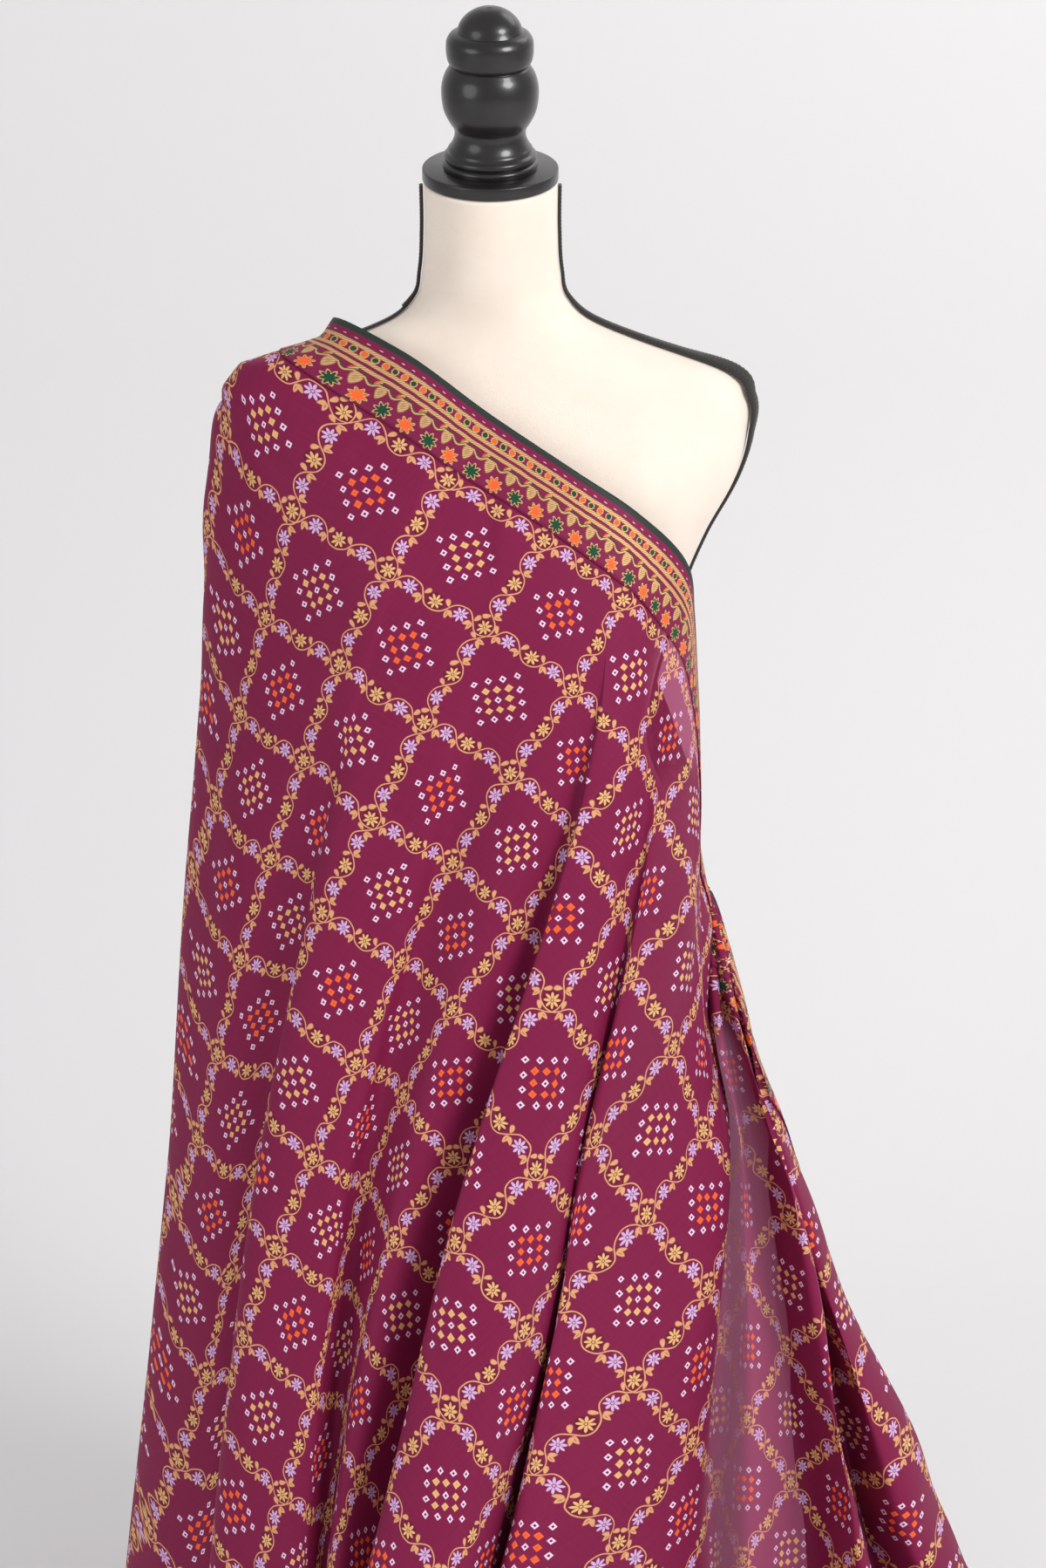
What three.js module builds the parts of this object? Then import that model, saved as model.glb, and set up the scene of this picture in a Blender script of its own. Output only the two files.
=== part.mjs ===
// A gharchola saree draped over one shoulder of a padded dress form on a round stand.
// Millimetres, +Z up, the form faces -Y, the floor is z = 0.
import * as THREE from "three";

// Sizes of the form.
const bustGap = 6.2;
const braidBump = { rise: 1.05, reach: 40 };
const shoulderBar = { height: 1070, share: 0.62 };
const capTilt = 14.6 * Math.PI / 180;
const capRadius = 50;
const capThickness = 9.4;
const capCentre = [0, -28.6, 1284.5];
const pieceGap = 0.4;
const sectionSides = 44;
const turnedSides = 28;
const braidWidth = 8;
const braidThickness = 2.6;
const coveredBelow = 1182;
const braidEase = 0.08;

// Sizes of the stand.
const baseRadius = 170;
const baseThickness = 12;
const bossRadius = 32;
const bossHeight = 34;
const poleRadius = 14;
const torsoBottom = 640;

// Sizes of the cloth.
const clothThickness = 2;
const hemHeight = 8;
const backPleats = 9;
const firstPleats = 4;
const backPleatChest = 5;
const backPleatThigh = 20;
const backPleatHem = 36;

// Cross sections of the padded body, from the flat underside up to the neck.
const bodySections = [
  { z: 640, half: 163, front: 100, back: 112, shift: 0, tip: 0 },
  { z: 700, half: 166, front: 104, back: 120, shift: 0, tip: 0 },
  { z: 760, half: 155, front: 98, back: 112, shift: 0, tip: 0 },
  { z: 805, half: 136, front: 88, back: 96, shift: 0, tip: 0 },
  { z: 850, half: 119, front: 84, back: 82, shift: 0, tip: 0 },
  { z: 895, half: 123, front: 102, back: 82, shift: 0, tip: 0 },
  { z: 940, half: 135, front: 120, back: 88, shift: 0, tip: 0 },
  { z: 980, half: 147, front: 122, back: 92, shift: 0, tip: 0 },
  { z: 1015, half: 162, front: 112, back: 94, shift: 0, tip: 0 },
  { z: 1056, half: 184, front: 97, back: 93, shift: 0, tip: 0 },
  { z: 1090, half: 193, front: 82, back: 87, shift: 0, tip: 0 },
  { z: 1118, half: 195, front: 66, back: 76, shift: 0, tip: 0 },
  { z: 1136, half: 184, front: 54, back: 64, shift: 0, tip: 0 },
  { z: 1148, half: 143, front: 49, back: 57, shift: 0, tip: 0 },
  { z: 1160, half: 107, front: 47, back: 53, shift: 0, tip: 0 },
  { z: 1174, half: 74, front: 47, back: 51, shift: -1, tip: 0.02 },
  { z: 1191, half: 56, front: 48, back: 50, shift: -4, tip: 0.07 },
  { z: 1212, half: 51, front: 49, back: 49, shift: -9, tip: 0.14 },
  { z: 1242, half: 49, front: 49, back: 49, shift: -17, tip: 0.21 },
  { z: 1279.3, half: 49, front: 49, back: 49, shift: -27.3, tip: 0.255 },
];

// Turned finial, height above the cap and radius.
const finialProfile = [
  { h: 0, r: 0 }, { h: 0, r: 34.5 }, { h: 5, r: 34.5 }, { h: 6.5, r: 32 },
  { h: 8, r: 33.5 }, { h: 12, r: 33.5 }, { h: 14, r: 30 }, { h: 19, r: 27.5 },
  { h: 24, r: 26 }, { h: 28, r: 26 }, { h: 33, r: 29 }, { h: 42, r: 33 },
  { h: 52, r: 35.3 }, { h: 62, r: 35.3 }, { h: 70, r: 33.5 }, { h: 76, r: 29 },
  { h: 78, r: 28.5 }, { h: 80.5, r: 30.5 }, { h: 84, r: 31.5 }, { h: 94, r: 31.5 },
  { h: 99, r: 29.5 }, { h: 101, r: 23.5 }, { h: 107, r: 22 }, { h: 113, r: 17 },
  { h: 117.5, r: 9 }, { h: 119, r: 0 },
];

// The braid from the neck down: width, thickness and how far it lies to the front.
const braidTable = [
  { z: 1280, wide: 4.4, thick: 3, forward: 0 }, { z: 1205, wide: 4.8, thick: 3, forward: 0 },
  { z: 1178, wide: 9.5, thick: 4.2, forward: 0 }, { z: 1150, wide: 12, thick: 4.6, forward: -2 },
  { z: 1132, wide: 12.5, thick: 4.8, forward: -13 }, { z: 1090, wide: 10, thick: 4, forward: -8 },
  { z: 1045, wide: 8, thick: 2.6, forward: 0 }, { z: 640, wide: 7, thick: 2.6, forward: 0 },
];

// The bordered edge of the cloth: distance run along it and where that point lies.
const neckline = [
  { run: -520, x: 158, y: 62, z: 800 },
  { run: -436, x: 128, y: 92, z: 878 },
  { run: -361, x: 82, y: 108, z: 935 },
  { run: -283, x: 28, y: 112, z: 992 },
  { run: -204, x: -32, y: 106, z: 1052 },
  { run: -130, x: -86, y: 80, z: 1112 },
  { run: -60, x: -118, y: 0, z: 1174 },
  { run: 0, x: -66, y: -58, z: 1158 },
  { run: 80, x: -2, y: -86, z: 1116 },
  { run: 160, x: 63, y: -104, z: 1075 },
  { run: 215, x: 107, y: -98, z: 1044 },
  { run: 282, x: 145, y: -75, z: 1001 },
  { run: 330, x: 151, y: -56, z: 962 },
  { run: 408, x: 155, y: -40, z: 886 },
  { run: 480, x: 159, y: -18, z: 816 },
  { run: 550, x: 164, y: 5, z: 746 },
  { run: 603, x: 177, y: 10, z: 696 },
];

// Folds of the front, from the free bordered edge round to the side under the covered
// shoulder. Each hangs from a place on the edge and passes chest, thigh and hem points.
const frontFolds = [
  { fold: "free edge", run: 566, chest: [196, 60, 640], thigh: [222, 110], hem: [275, 150] },
  { fold: "turn back", run: 564, chest: [196, 12, 640], thigh: [240, 30], hem: [452, 50] },
  { fold: "side ridge", run: 562, chest: [193, -6, 640], thigh: [233, -5], hem: [400, -60] },
  { fold: "side valley", run: 560, chest: [189, 14, 640], thigh: [228, 25], hem: [345, 0] },
  { fold: "eighth ridge", run: 558, chest: [188, -18, 640], thigh: [233, -30], hem: [325, -130] },
  { fold: "sheer valley", run: 554, chest: [180, 0, 640], thigh: [208, 5], hem: [280, -60] },
  { fold: "sheer strip", run: 548, chest: [174, -10, 640], thigh: [197, -10], hem: [205, -100] },
  { fold: "sixth valley", run: 530, chest: [170, 5, 640], thigh: [188, 10], hem: [180, -60] },
  { fold: "sixth ridge", run: 462, chest: [166, -30, 640], thigh: [178, -40], hem: [140, -165] },
  { fold: "flat panel", run: 345, chest: [152, -60, 760], thigh: [116, -120], hem: [65, -250] },
  { fold: "fourth ridge", run: 250, chest: [128, -110, 900], thigh: [56, -170], hem: [-48, -312] },
  { fold: "fourth valley", run: 220, chest: [118, -115, 900], thigh: [63, -146], hem: [-40, -270] },
  { fold: "broad ridge", run: 200, chest: [100, -125, 920], thigh: [18, -205], hem: [-95, -358] },
  { fold: "third ridge", run: 192, chest: [85, -130, 930], thigh: [-38, -202], hem: [-148, -324] },
  { fold: "third valley", run: 184, chest: [75, -130, 930], thigh: [-24, -140], hem: [-130, -236] },
  { fold: "middle ridge", run: 140, chest: [40, -133, 940], thigh: [-79, -160], hem: [-150, -258] },
  { fold: "second valley", run: 105, chest: [0, -131, 950], thigh: [-101, -131], hem: [-147, -234] },
  { fold: "second ridge", run: 95, chest: [-15, -130, 950], thigh: [-112, -147], hem: [-160, -258] },
  { fold: "small ridge", run: 80, chest: [-40, -127, 960], thigh: [-145, -140], hem: [-200, -225] },
  { fold: "first ridge", run: 55, chest: [-75, -118, 970], thigh: [-183, -120], hem: [-238, -180] },
  { fold: "first valley", run: 40, chest: [-95, -112, 975], thigh: [-180, -85], hem: [-235, -135] },
  { fold: "side panel", run: 0, chest: [-140, -85, 1000], thigh: [-202, -78], hem: [-249, -112] },
  { fold: "arm fold", run: -70, chest: [-188, -36, 1085], thigh: [-240, -40], hem: [-296, -56] },
  { fold: "shoulder side", run: -130, chest: [-203, 12, 1112], thigh: [-257, 8], hem: [-319, 12] },
];
const thighHeight = 500;

// Line followed by the back of the cloth at the height of the shoulder blades.
const backChest = [
  { x: -203, y: 12, z: 1112 }, { x: -164, y: 88, z: 1030 }, { x: -90, y: 122, z: 960 },
  { x: 0, y: 132, z: 890 }, { x: 90, y: 128, z: 800 }, { x: 168, y: 92, z: 690 },
];

// Small helpers.
function splineAt(knots, values, t, steady = false) {
  // A smooth curve through values at uneven knots. A steady one doesn't swing past its
  // values between the knots.
  const last = knots.length - 1;
  let k = 0;
  while (k < last - 1 && t > knots[k + 1]) {
    k += 1;
  }
  const slope = (i) => values[0].map((_, c) => {
    const before = Math.max(i - 1, 0);
    const after = Math.min(i + 1, last);
    if (before === i || after === i) {
      return (values[after][c] - values[before][c]) / (knots[after] - knots[before]);
    }
    const left = (values[i][c] - values[before][c]) / (knots[i] - knots[before]);
    const right = (values[after][c] - values[i][c]) / (knots[after] - knots[i]);
    const share = (knots[i] - knots[before]) / (knots[after] - knots[before]);
    if (steady) {
      return left * right > 0 ? (left * right) / (left * share + right * (1 - share)) : 0;
    }
    return left * (1 - share) + right * share;
  });
  const span = knots[k + 1] - knots[k];
  const w = (t - knots[k]) / span;
  const m0 = slope(k);
  const m1 = slope(k + 1);
  return values[0].map((_, c) => {
    const a = (1 + 2 * w) * (1 - w) * (1 - w) * values[k][c];
    const b = w * (1 - w) * (1 - w) * span * m0[c];
    const d = w * w * (3 - 2 * w) * values[k + 1][c];
    const e = w * w * (w - 1) * span * m1[c];
    return a + b + d + e;
  });
}

function distance(p, q) {
  return Math.hypot(p[0] - q[0], p[1] - q[1], p[2] - q[2]);
}

function solidFrom(name, rings, closedRing, material) {
  // Joins equal rings of points into a tube and caps both ends with a fan.
  const sides = rings[0].length;
  const points = rings.flat();
  const faces = [];
  const wrap = closedRing ? sides : sides - 1;
  for (let i = 0; i < rings.length - 1; i += 1) {
    for (let j = 0; j < wrap; j += 1) {
      const a = i * sides + j;
      const b = i * sides + (j + 1) % sides;
      faces.push(a, b, b + sides, a, b + sides, a + sides);
    }
  }
  const capAt = (start, flip) => {
    const centre = [0, 1, 2].map((c) => {
      let total = 0;
      for (let j = 0; j < sides; j += 1) {
        total += points[start + j][c];
      }
      return total / sides;
    });
    points.push(centre);
    const middle = points.length - 1;
    for (let j = 0; j < sides; j += 1) {
      const a = start + j;
      const b = start + (j + 1) % sides;
      faces.push(...(flip ? [b, a, middle] : [a, b, middle]));
    }
  };
  capAt(0, true);
  capAt((rings.length - 1) * sides, false);
  return meshFrom(name, points, faces, material);
}

function meshFrom(name, points, faces, material) {
  const geometry = new THREE.BufferGeometry();
  geometry.setAttribute("position", new THREE.Float32BufferAttribute(points.flat(), 3));
  geometry.setIndex(faces);
  geometry.computeVertexNormals();
  const mesh = new THREE.Mesh(geometry, material);
  mesh.name = name;
  return mesh;
}

function paint(colour, roughness, metalness = 0) {
  return new THREE.MeshStandardMaterial({ color: colour, roughness, metalness });
}

// The padded body.
function sectionAt(z) {
  const clipped = Math.min(Math.max(z, bodySections[0].z), bodySections.at(-1).z);
  let k = 0;
  while (k < bodySections.length - 2 && clipped > bodySections[k + 1].z) {
    k += 1;
  }
  const low = bodySections[k];
  const high = bodySections[k + 1];
  const w = (clipped - low.z) / (high.z - low.z);
  const mix = (key) => low[key] * (1 - w) + high[key] * w;
  return { half: mix("half"), front: mix("front"), back: mix("back"), shift: mix("shift") };
}

function sectionPoint(section, angle) {
  const x = section.half * Math.cos(angle);
  const depth = Math.sin(angle) < 0 ? section.front : section.back;
  const y = section.shift + depth * Math.sin(angle);
  const lean = Math.tan(section.tip);
  return [x, y, section.z + (y - section.shift) * lean];
}

function torsoMesh() {
  const rings = bodySections.map((section) => {
    const ring = [];
    for (let j = 0; j < sectionSides; j += 1) {
      ring.push(sectionPoint(section, (j / sectionSides) * 2 * Math.PI));
    }
    return ring;
  });
  return solidFrom("torso", rings, true, paint("#efe4d7", 0.9));
}

function insideBody(x, y, z) {
  for (const step of [-8, -4, 0, 6]) {
    const height = z + step;
    if (height < torsoBottom - 12 || height > 1290) {
      continue;
    }
    const section = sectionAt(height);
    const beside = y / braidBump.reach;
    const overBraid = braidBump.rise * Math.max(0, 1 - beside * beside);
    const depth = (y < section.shift ? section.front : section.back) + bustGap;
    const half = section.half + bustGap + overBraid;
    if (Math.hypot(x / half, (y - section.shift) / depth) < 1) {
      return true;
    }
  }
  return false;
}

function clearOfBody(p) {
  // Moves a point that would be in the body straight out of it, away from a bar that
  // runs across the shoulders and down the middle.
  if (!insideBody(...p)) {
    return p;
  }
  const barHeight = Math.min(p[2], shoulderBar.height);
  const reach = sectionAt(barHeight).half * shoulderBar.share;
  const root = [Math.min(Math.max(p[0], -reach), reach), 0, barHeight];
  const away = [p[0] - root[0], p[1] - root[1], p[2] - root[2]];
  let low = 1;
  let high = 40;
  for (let i = 0; i < 30; i += 1) {
    const mid = (low + high) / 2;
    const q = root.map((value, c) => value + away[c] * mid);
    if (insideBody(...q)) {
      low = mid;
    } else {
      high = mid;
    }
  }
  return root.map((value, c) => value + away[c] * high);
}

function braidAt(z, side) {
  // Width, thickness and place of the braid at a height, kept flat where the cloth lies.
  const knots = braidTable.map((row) => -row.z);
  const keys = ["wide", "thick", "forward"];
  const values = braidTable.map((row) => keys.map((key) => row[key]));
  const [wide, thick, forward] = splineAt(knots, values, -z, true);
  if (side < 0 && z < coveredBelow) {
    return { wide: Math.min(wide, braidWidth), thick: braidThickness, forward: 0 };
  }
  return { wide, thick, forward };
}

function braidMesh(name, side) {
  // A flat braid that covers the seam from the neck over the shoulder, down the front of
  // the arm opening and down the side.
  const stops = bodySections.slice(1).map((section) => {
    const band = braidAt(section.z, side);
    const cosine = Math.sqrt(1 - (band.forward / section.front) ** 2);
    const x = section.half * cosine;
    const facing = new THREE.Vector2(x / section.half ** 2, band.forward / section.front ** 2);
    const y = section.shift + band.forward;
    return { band, facing: facing.normalize(), at: new THREE.Vector3(side * x, y, section.z) };
  });
  stops.reverse();
  const rings = stops.map((stop, i) => {
    const before = stops[Math.max(i - 1, 0)].at;
    const after = stops[Math.min(i + 1, stops.length - 1)].at;
    const along = after.clone().sub(before).normalize();
    const flat = after.clone().sub(before).setY(0).normalize();
    const out = new THREE.Vector3(-flat.z * side, 0, flat.x * side).multiplyScalar(stop.facing.x);
    out.y = stop.facing.y;
    out.addScaledVector(along, -out.dot(along)).normalize();
    const across = new THREE.Vector3().crossVectors(out, along).multiplyScalar(side);
    const ring = [];
    for (let j = 0; j < 8; j += 1) {
      const angle = (j / 8) * 2 * Math.PI + Math.PI / 8;
      const seat = pieceGap - stop.band.forward * braidEase;
      const lift = seat + stop.band.thick * (0.5 + 0.5 * Math.sin(angle));
      const point = stop.at.clone().addScaledVector(out, lift);
      point.addScaledVector(across, (stop.band.wide / 2) * Math.cos(angle));
      ring.push([point.x, point.y, point.z]);
    }
    return side > 0 ? ring : ring.reverse();
  });
  return solidFrom(name, rings, true, paint("#15120f", 0.6));
}

// Turned pieces on the neck.
function turned(name, profile, sides, material) {
  const outline = profile.map((p) => new THREE.Vector2(p.r, p.h));
  const geometry = new THREE.LatheGeometry(outline, sides);
  geometry.rotateX(Math.PI / 2);
  const mesh = new THREE.Mesh(geometry, material);
  mesh.name = name;
  return mesh;
}

function setOnNeck(mesh, above) {
  // Leans a turned piece forward with the neck and sets it above the middle of the cap.
  mesh.geometry.rotateX(capTilt);
  const y = capCentre[1] - Math.sin(capTilt) * above;
  const z = capCentre[2] + Math.cos(capTilt) * above;
  mesh.geometry.translate(capCentre[0], y, z);
  return mesh;
}

function neckCapMesh() {
  const half = capThickness / 2;
  const profile = [
    { h: -half, r: 0 }, { h: -half, r: capRadius - 2 }, { h: -half + 2.2, r: capRadius },
    { h: half - 2.2, r: capRadius }, { h: half, r: capRadius - 2 }, { h: half, r: 0 },
  ];
  return setOnNeck(turned("neck_cap", profile, 36, paint("#100e0d", 0.35)), 0);
}

function finialMesh() {
  const mesh = turned("finial", finialProfile, turnedSides, paint("#100e0d", 0.35));
  return setOnNeck(mesh, capThickness / 2 + pieceGap);
}

// The stand.
function baseMesh() {
  const profile = [
    { h: 0, r: 0 }, { h: 0, r: baseRadius - 1.5 }, { h: 1.5, r: baseRadius },
    { h: baseThickness - 4, r: baseRadius }, { h: baseThickness, r: baseRadius - 6 },
    { h: baseThickness, r: bossRadius + 6 }, { h: baseThickness + 5, r: bossRadius },
    { h: bossHeight, r: bossRadius - 4 }, { h: bossHeight, r: 0 },
  ];
  return turned("stand_base", profile, 40, paint("#1b1715", 0.45));
}

function poleMesh() {
  const bottom = bossHeight + pieceGap;
  const top = torsoBottom - pieceGap;
  const profile = [
    { h: bottom, r: 0 }, { h: bottom, r: poleRadius }, { h: top - 16, r: poleRadius },
    { h: top - 14, r: poleRadius + 12 }, { h: top, r: poleRadius + 12 }, { h: top, r: 0 },
  ];
  return turned("stand_pole", profile, 24, paint("#1b1715", 0.45));
}

// The cloth.
function edgePoint(run) {
  const knots = neckline.map((p) => p.run);
  const values = neckline.map((p) => [p.x, p.y, p.z]);
  return splineAt(knots, values, Math.min(Math.max(run, knots[0]), knots.at(-1)));
}

function clothRows() {
  const rows = frontFolds.map((fold) => ({
    run: fold.run,
    chest: fold.chest,
    thigh: [...fold.thigh, thighHeight],
    hem: [...fold.hem, hemHeight],
  }));
  const chestKnots = backChest.map((_, i) => i / (backChest.length - 1));
  const chestLine = backChest.map((p) => [p.x, p.y, p.z]);
  const steps = backPleats * 2;
  for (let i = 1; i <= steps; i += 1) {
    const t = i / steps;
    const bend = i % 2 === 0 ? -1 : 1;
    const edgeFade = i === steps ? 0 : Math.min(i / firstPleats, 1);
    const uneven = 1 + 0.22 * Math.sin(i * 2.3);
    const turn = Math.PI * (1 - 0.8 * t);
    const lean = 0.35 * bend * edgeFade;
    const chest = splineAt(chestKnots, chestLine, t);
    const ring = (cx, rx, ry, deep) => {
      const pull = bend * edgeFade * uneven * deep;
      const angle = turn + lean * deep / 400;
      return [cx + (rx + pull) * Math.cos(angle), (ry + pull) * Math.sin(angle)];
    };
    const swell = bend * edgeFade * backPleatChest;
    const out = [
      chest[0] + swell * Math.cos(turn),
      chest[1] + swell * Math.sin(turn),
      chest[2],
    ];
    rows.push({
      run: -130 - 390 * t,
      chest: out,
      thigh: [...ring(-42, 196, 205, backPleatThigh), thighHeight],
      hem: [...ring(-52, 231, 285, backPleatHem), hemHeight],
    });
  }
  let across = 0;
  rows.forEach((row, i) => {
    if (i > 0) {
      across += 0.5 * distance(row.thigh, rows[i - 1].thigh);
      across += 0.5 * distance(row.hem, rows[i - 1].hem);
    }
    row.across = across;
  });
  return rows;
}

const rows = clothRows();
const downKnots = [0, 0.16, 0.56, 1];
const drawnIn = { by: 16, height: 930, spread: 190, from: 100, full: 200 };

function drawIn([x, y, z]) {
  // Under the covered arm the weight of the cloth draws its side in towards the form.
  const share = (-x - drawnIn.from) / (drawnIn.full - drawnIn.from);
  const left = Math.min(Math.max(share, 0), 1);
  const height = (z - drawnIn.height) / drawnIn.spread;
  return [x + drawnIn.by * left * Math.exp(-height * height), y, z];
}

function clothPoint(across, down) {
  const knots = rows.map((row) => row.across);
  const pick = (key) => splineAt(knots, rows.map((row) => row[key]), across);
  const run = splineAt(knots, rows.map((row) => [row.run]), across)[0];
  const path = [edgePoint(run), pick("chest"), pick("thigh"), pick("hem")];
  return clearOfBody(drawIn(splineAt(downKnots, path, down, true)));
}

function sheetMesh(name, grid, thickness, material) {
  // Closes a grid of points into a sheet: the inner face is on the grid, the outer face
  // stands off by the thickness, and a rim joins them all round.
  const wide = grid.length;
  const tall = grid[0].length;
  const normalAt = (i, j) => {
    const left = grid[Math.max(i - 1, 0)][j];
    const right = grid[Math.min(i + 1, wide - 1)][j];
    const up = grid[i][Math.max(j - 1, 0)];
    const low = grid[i][Math.min(j + 1, tall - 1)];
    const a = new THREE.Vector3(...right).sub(new THREE.Vector3(...left));
    const b = new THREE.Vector3(...low).sub(new THREE.Vector3(...up));
    return a.cross(b).normalize();
  };
  const points = [];
  for (const off of [0, thickness]) {
    for (let i = 0; i < wide; i += 1) {
      for (let j = 0; j < tall; j += 1) {
        const n = normalAt(i, j);
        const p = grid[i][j];
        points.push([p[0] + n.x * off, p[1] + n.y * off, p[2] + n.z * off]);
      }
    }
  }
  const faces = [];
  const inner = (i, j) => i * tall + j;
  const outer = (i, j) => wide * tall + i * tall + j;
  for (let i = 0; i < wide - 1; i += 1) {
    for (let j = 0; j < tall - 1; j += 1) {
      faces.push(outer(i, j), outer(i + 1, j), outer(i + 1, j + 1));
      faces.push(outer(i, j), outer(i + 1, j + 1), outer(i, j + 1));
      faces.push(inner(i, j), inner(i + 1, j + 1), inner(i + 1, j));
      faces.push(inner(i, j), inner(i, j + 1), inner(i + 1, j + 1));
    }
  }
  const rim = [];
  for (let i = 0; i < wide; i += 1) {
    rim.push([i, 0]);
  }
  for (let j = 1; j < tall; j += 1) {
    rim.push([wide - 1, j]);
  }
  for (let i = wide - 2; i >= 0; i -= 1) {
    rim.push([i, tall - 1]);
  }
  for (let j = tall - 2; j > 0; j -= 1) {
    rim.push([0, j]);
  }
  rim.forEach((here, k) => {
    const next = rim[(k + 1) % rim.length];
    faces.push(inner(...here), inner(...next), outer(...next));
    faces.push(inner(...here), outer(...next), outer(...here));
  });
  return meshFrom(name, points, faces, material);
}

const columnWidth = 26;
const downs = [0, 0.03, 0.065, 0.105, 0.15, 0.2, 0.27, 0.35, 0.44, 0.54, 0.65, 0.77, 0.89, 1];

function clothGrid() {
  const columns = [];
  rows.forEach((row, i) => {
    if (i === 0) {
      columns.push(row.across);
      return;
    }
    const before = rows[i - 1].across;
    const parts = Math.max(2, Math.round((row.across - before) / columnWidth));
    for (let k = 1; k <= parts; k += 1) {
      columns.push(before + ((row.across - before) * k) / parts);
    }
  });
  return columns.map((across) => downs.map((down) => clothPoint(across, down)));
}

const cloth = clothGrid();
const group = new THREE.Group();
group.name = "gharchola_saree_on_form";
group.add(torsoMesh());
group.add(neckCapMesh());
group.add(finialMesh());
group.add(braidMesh("braid_right", 1));
group.add(braidMesh("braid_left", -1));
group.add(baseMesh());
group.add(poleMesh());
group.add(sheetMesh("saree", cloth, clothThickness, paint("#8a2a50", 0.7)));

export default group;
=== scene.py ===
"""Gharchola saree draped over one shoulder of a padded dress form, dressed for rendering."""

import logging
import math
from collections.abc import Callable
from dataclasses import dataclass, field
from enum import Enum

import bpy
import numpy as np
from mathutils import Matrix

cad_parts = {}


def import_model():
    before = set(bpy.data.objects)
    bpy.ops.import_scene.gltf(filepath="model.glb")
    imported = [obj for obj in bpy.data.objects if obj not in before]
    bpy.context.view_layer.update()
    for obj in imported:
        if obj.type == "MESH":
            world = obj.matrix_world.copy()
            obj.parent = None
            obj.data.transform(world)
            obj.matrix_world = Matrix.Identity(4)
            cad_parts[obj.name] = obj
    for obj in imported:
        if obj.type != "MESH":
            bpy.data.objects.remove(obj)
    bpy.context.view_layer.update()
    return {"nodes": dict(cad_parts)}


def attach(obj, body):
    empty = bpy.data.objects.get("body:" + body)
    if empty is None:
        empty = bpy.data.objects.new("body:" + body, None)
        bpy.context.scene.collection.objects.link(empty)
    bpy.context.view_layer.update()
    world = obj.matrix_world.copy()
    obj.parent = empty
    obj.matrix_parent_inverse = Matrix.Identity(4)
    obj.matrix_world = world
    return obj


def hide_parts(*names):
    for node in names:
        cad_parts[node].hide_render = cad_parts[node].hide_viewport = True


LOG = logging.getLogger("saree")
# Metres in a millimetre, and the small size that closed ends are drawn in to.
MM = 0.001
PINCH = 0.002


class Slot(Enum):
    """Material slots of the record."""

    COVER = "form_cover"
    TURNED = "turned_black"
    BRAID = "braid"
    STAND = "stand"
    CLOTH = "saree_cloth"


# Geometry helpers


def hermite(
    knots: np.ndarray, values: np.ndarray, at: np.ndarray, steady: bool = False
) -> np.ndarray:
    """Smooth curve through values at uneven knots, with slopes weighted by spacing.

    Args:
        knots: Rising parameters, one for each value.
        values: Array whose first axis runs over the knots.
        at: Parameters at which the curve is wanted.
        steady: Keeps the curve from swinging past its values between knots.

    Returns:
        The values at those parameters, along the first axis.
    """
    knots = np.asarray(knots, float)
    values = np.asarray(values, float)
    at = np.asarray(at, float)
    shape = (-1,) + (1,) * (values.ndim - 1)
    gaps = np.diff(knots)
    secants = np.diff(values, axis=0) / gaps.reshape(shape)
    slopes = np.empty_like(values)
    slopes[0], slopes[-1] = secants[0], secants[-1]
    share = (gaps[:-1] / (gaps[:-1] + gaps[1:])).reshape(shape)
    slopes[1:-1] = secants[:-1] * (1 - share) + secants[1:] * share
    if steady:
        same = secants[:-1] * secants[1:] > 0
        total = np.where(same, secants[:-1] * share + secants[1:] * (1 - share), 1.0)
        slopes[1:-1] = np.where(same, secants[:-1] * secants[1:] / total, 0.0)
    k = np.clip(np.searchsorted(knots, at) - 1, 0, len(knots) - 2)
    span = gaps[k].reshape(shape)
    w = ((at - knots[k]) / gaps[k]).reshape(shape)
    near = (1 + 2 * w) * (1 - w) ** 2 * values[k] + w * (1 - w) ** 2 * span * slopes[k]
    far = w**2 * (3 - 2 * w) * values[k + 1] + w**2 * (w - 1) * span * slopes[k + 1]
    return near + far


def grid_faces(across: int, down: int, closed: bool = False) -> np.ndarray:
    """Quads of a grid of points stored column by column.

    Args:
        across: Number of columns.
        down: Points in a column.
        closed: Joins the last column to the first.

    Returns:
        Array of four indices a face.
    """
    columns = across if closed else across - 1
    i, j = np.meshgrid(np.arange(columns), np.arange(down - 1), indexing="ij")
    right = (i + 1) % across
    quad = [i * down + j, i * down + j + 1, right * down + j + 1, right * down + j]
    return np.stack(quad, -1).reshape(-1, 4)


def unit(vectors: np.ndarray) -> np.ndarray:
    """Vectors of length one, the same way as those given."""
    return vectors / np.maximum(np.linalg.norm(vectors, axis=-1, keepdims=True), 1e-9)


def grid_normals(points: np.ndarray) -> np.ndarray:
    """Unit normals of a grid of points, from differences along both directions."""
    return unit(np.cross(np.gradient(points, axis=0), np.gradient(points, axis=1)))


def walked(points: np.ndarray, axis: int = 0) -> np.ndarray:
    """Length walked from point to point along an axis, nought at the first."""
    stride = np.linalg.norm(np.diff(points, axis=axis), axis=-1)
    return np.insert(np.cumsum(stride, axis=axis), 0, 0, axis=axis)


def around(sides: int) -> tuple[np.ndarray, np.ndarray]:
    """Cosines and sines of even steps round a ring, as columns."""
    turn = np.linspace(0, 2 * np.pi, sides, endpoint=False)[:, None]
    return np.cos(turn), np.sin(turn)


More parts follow.
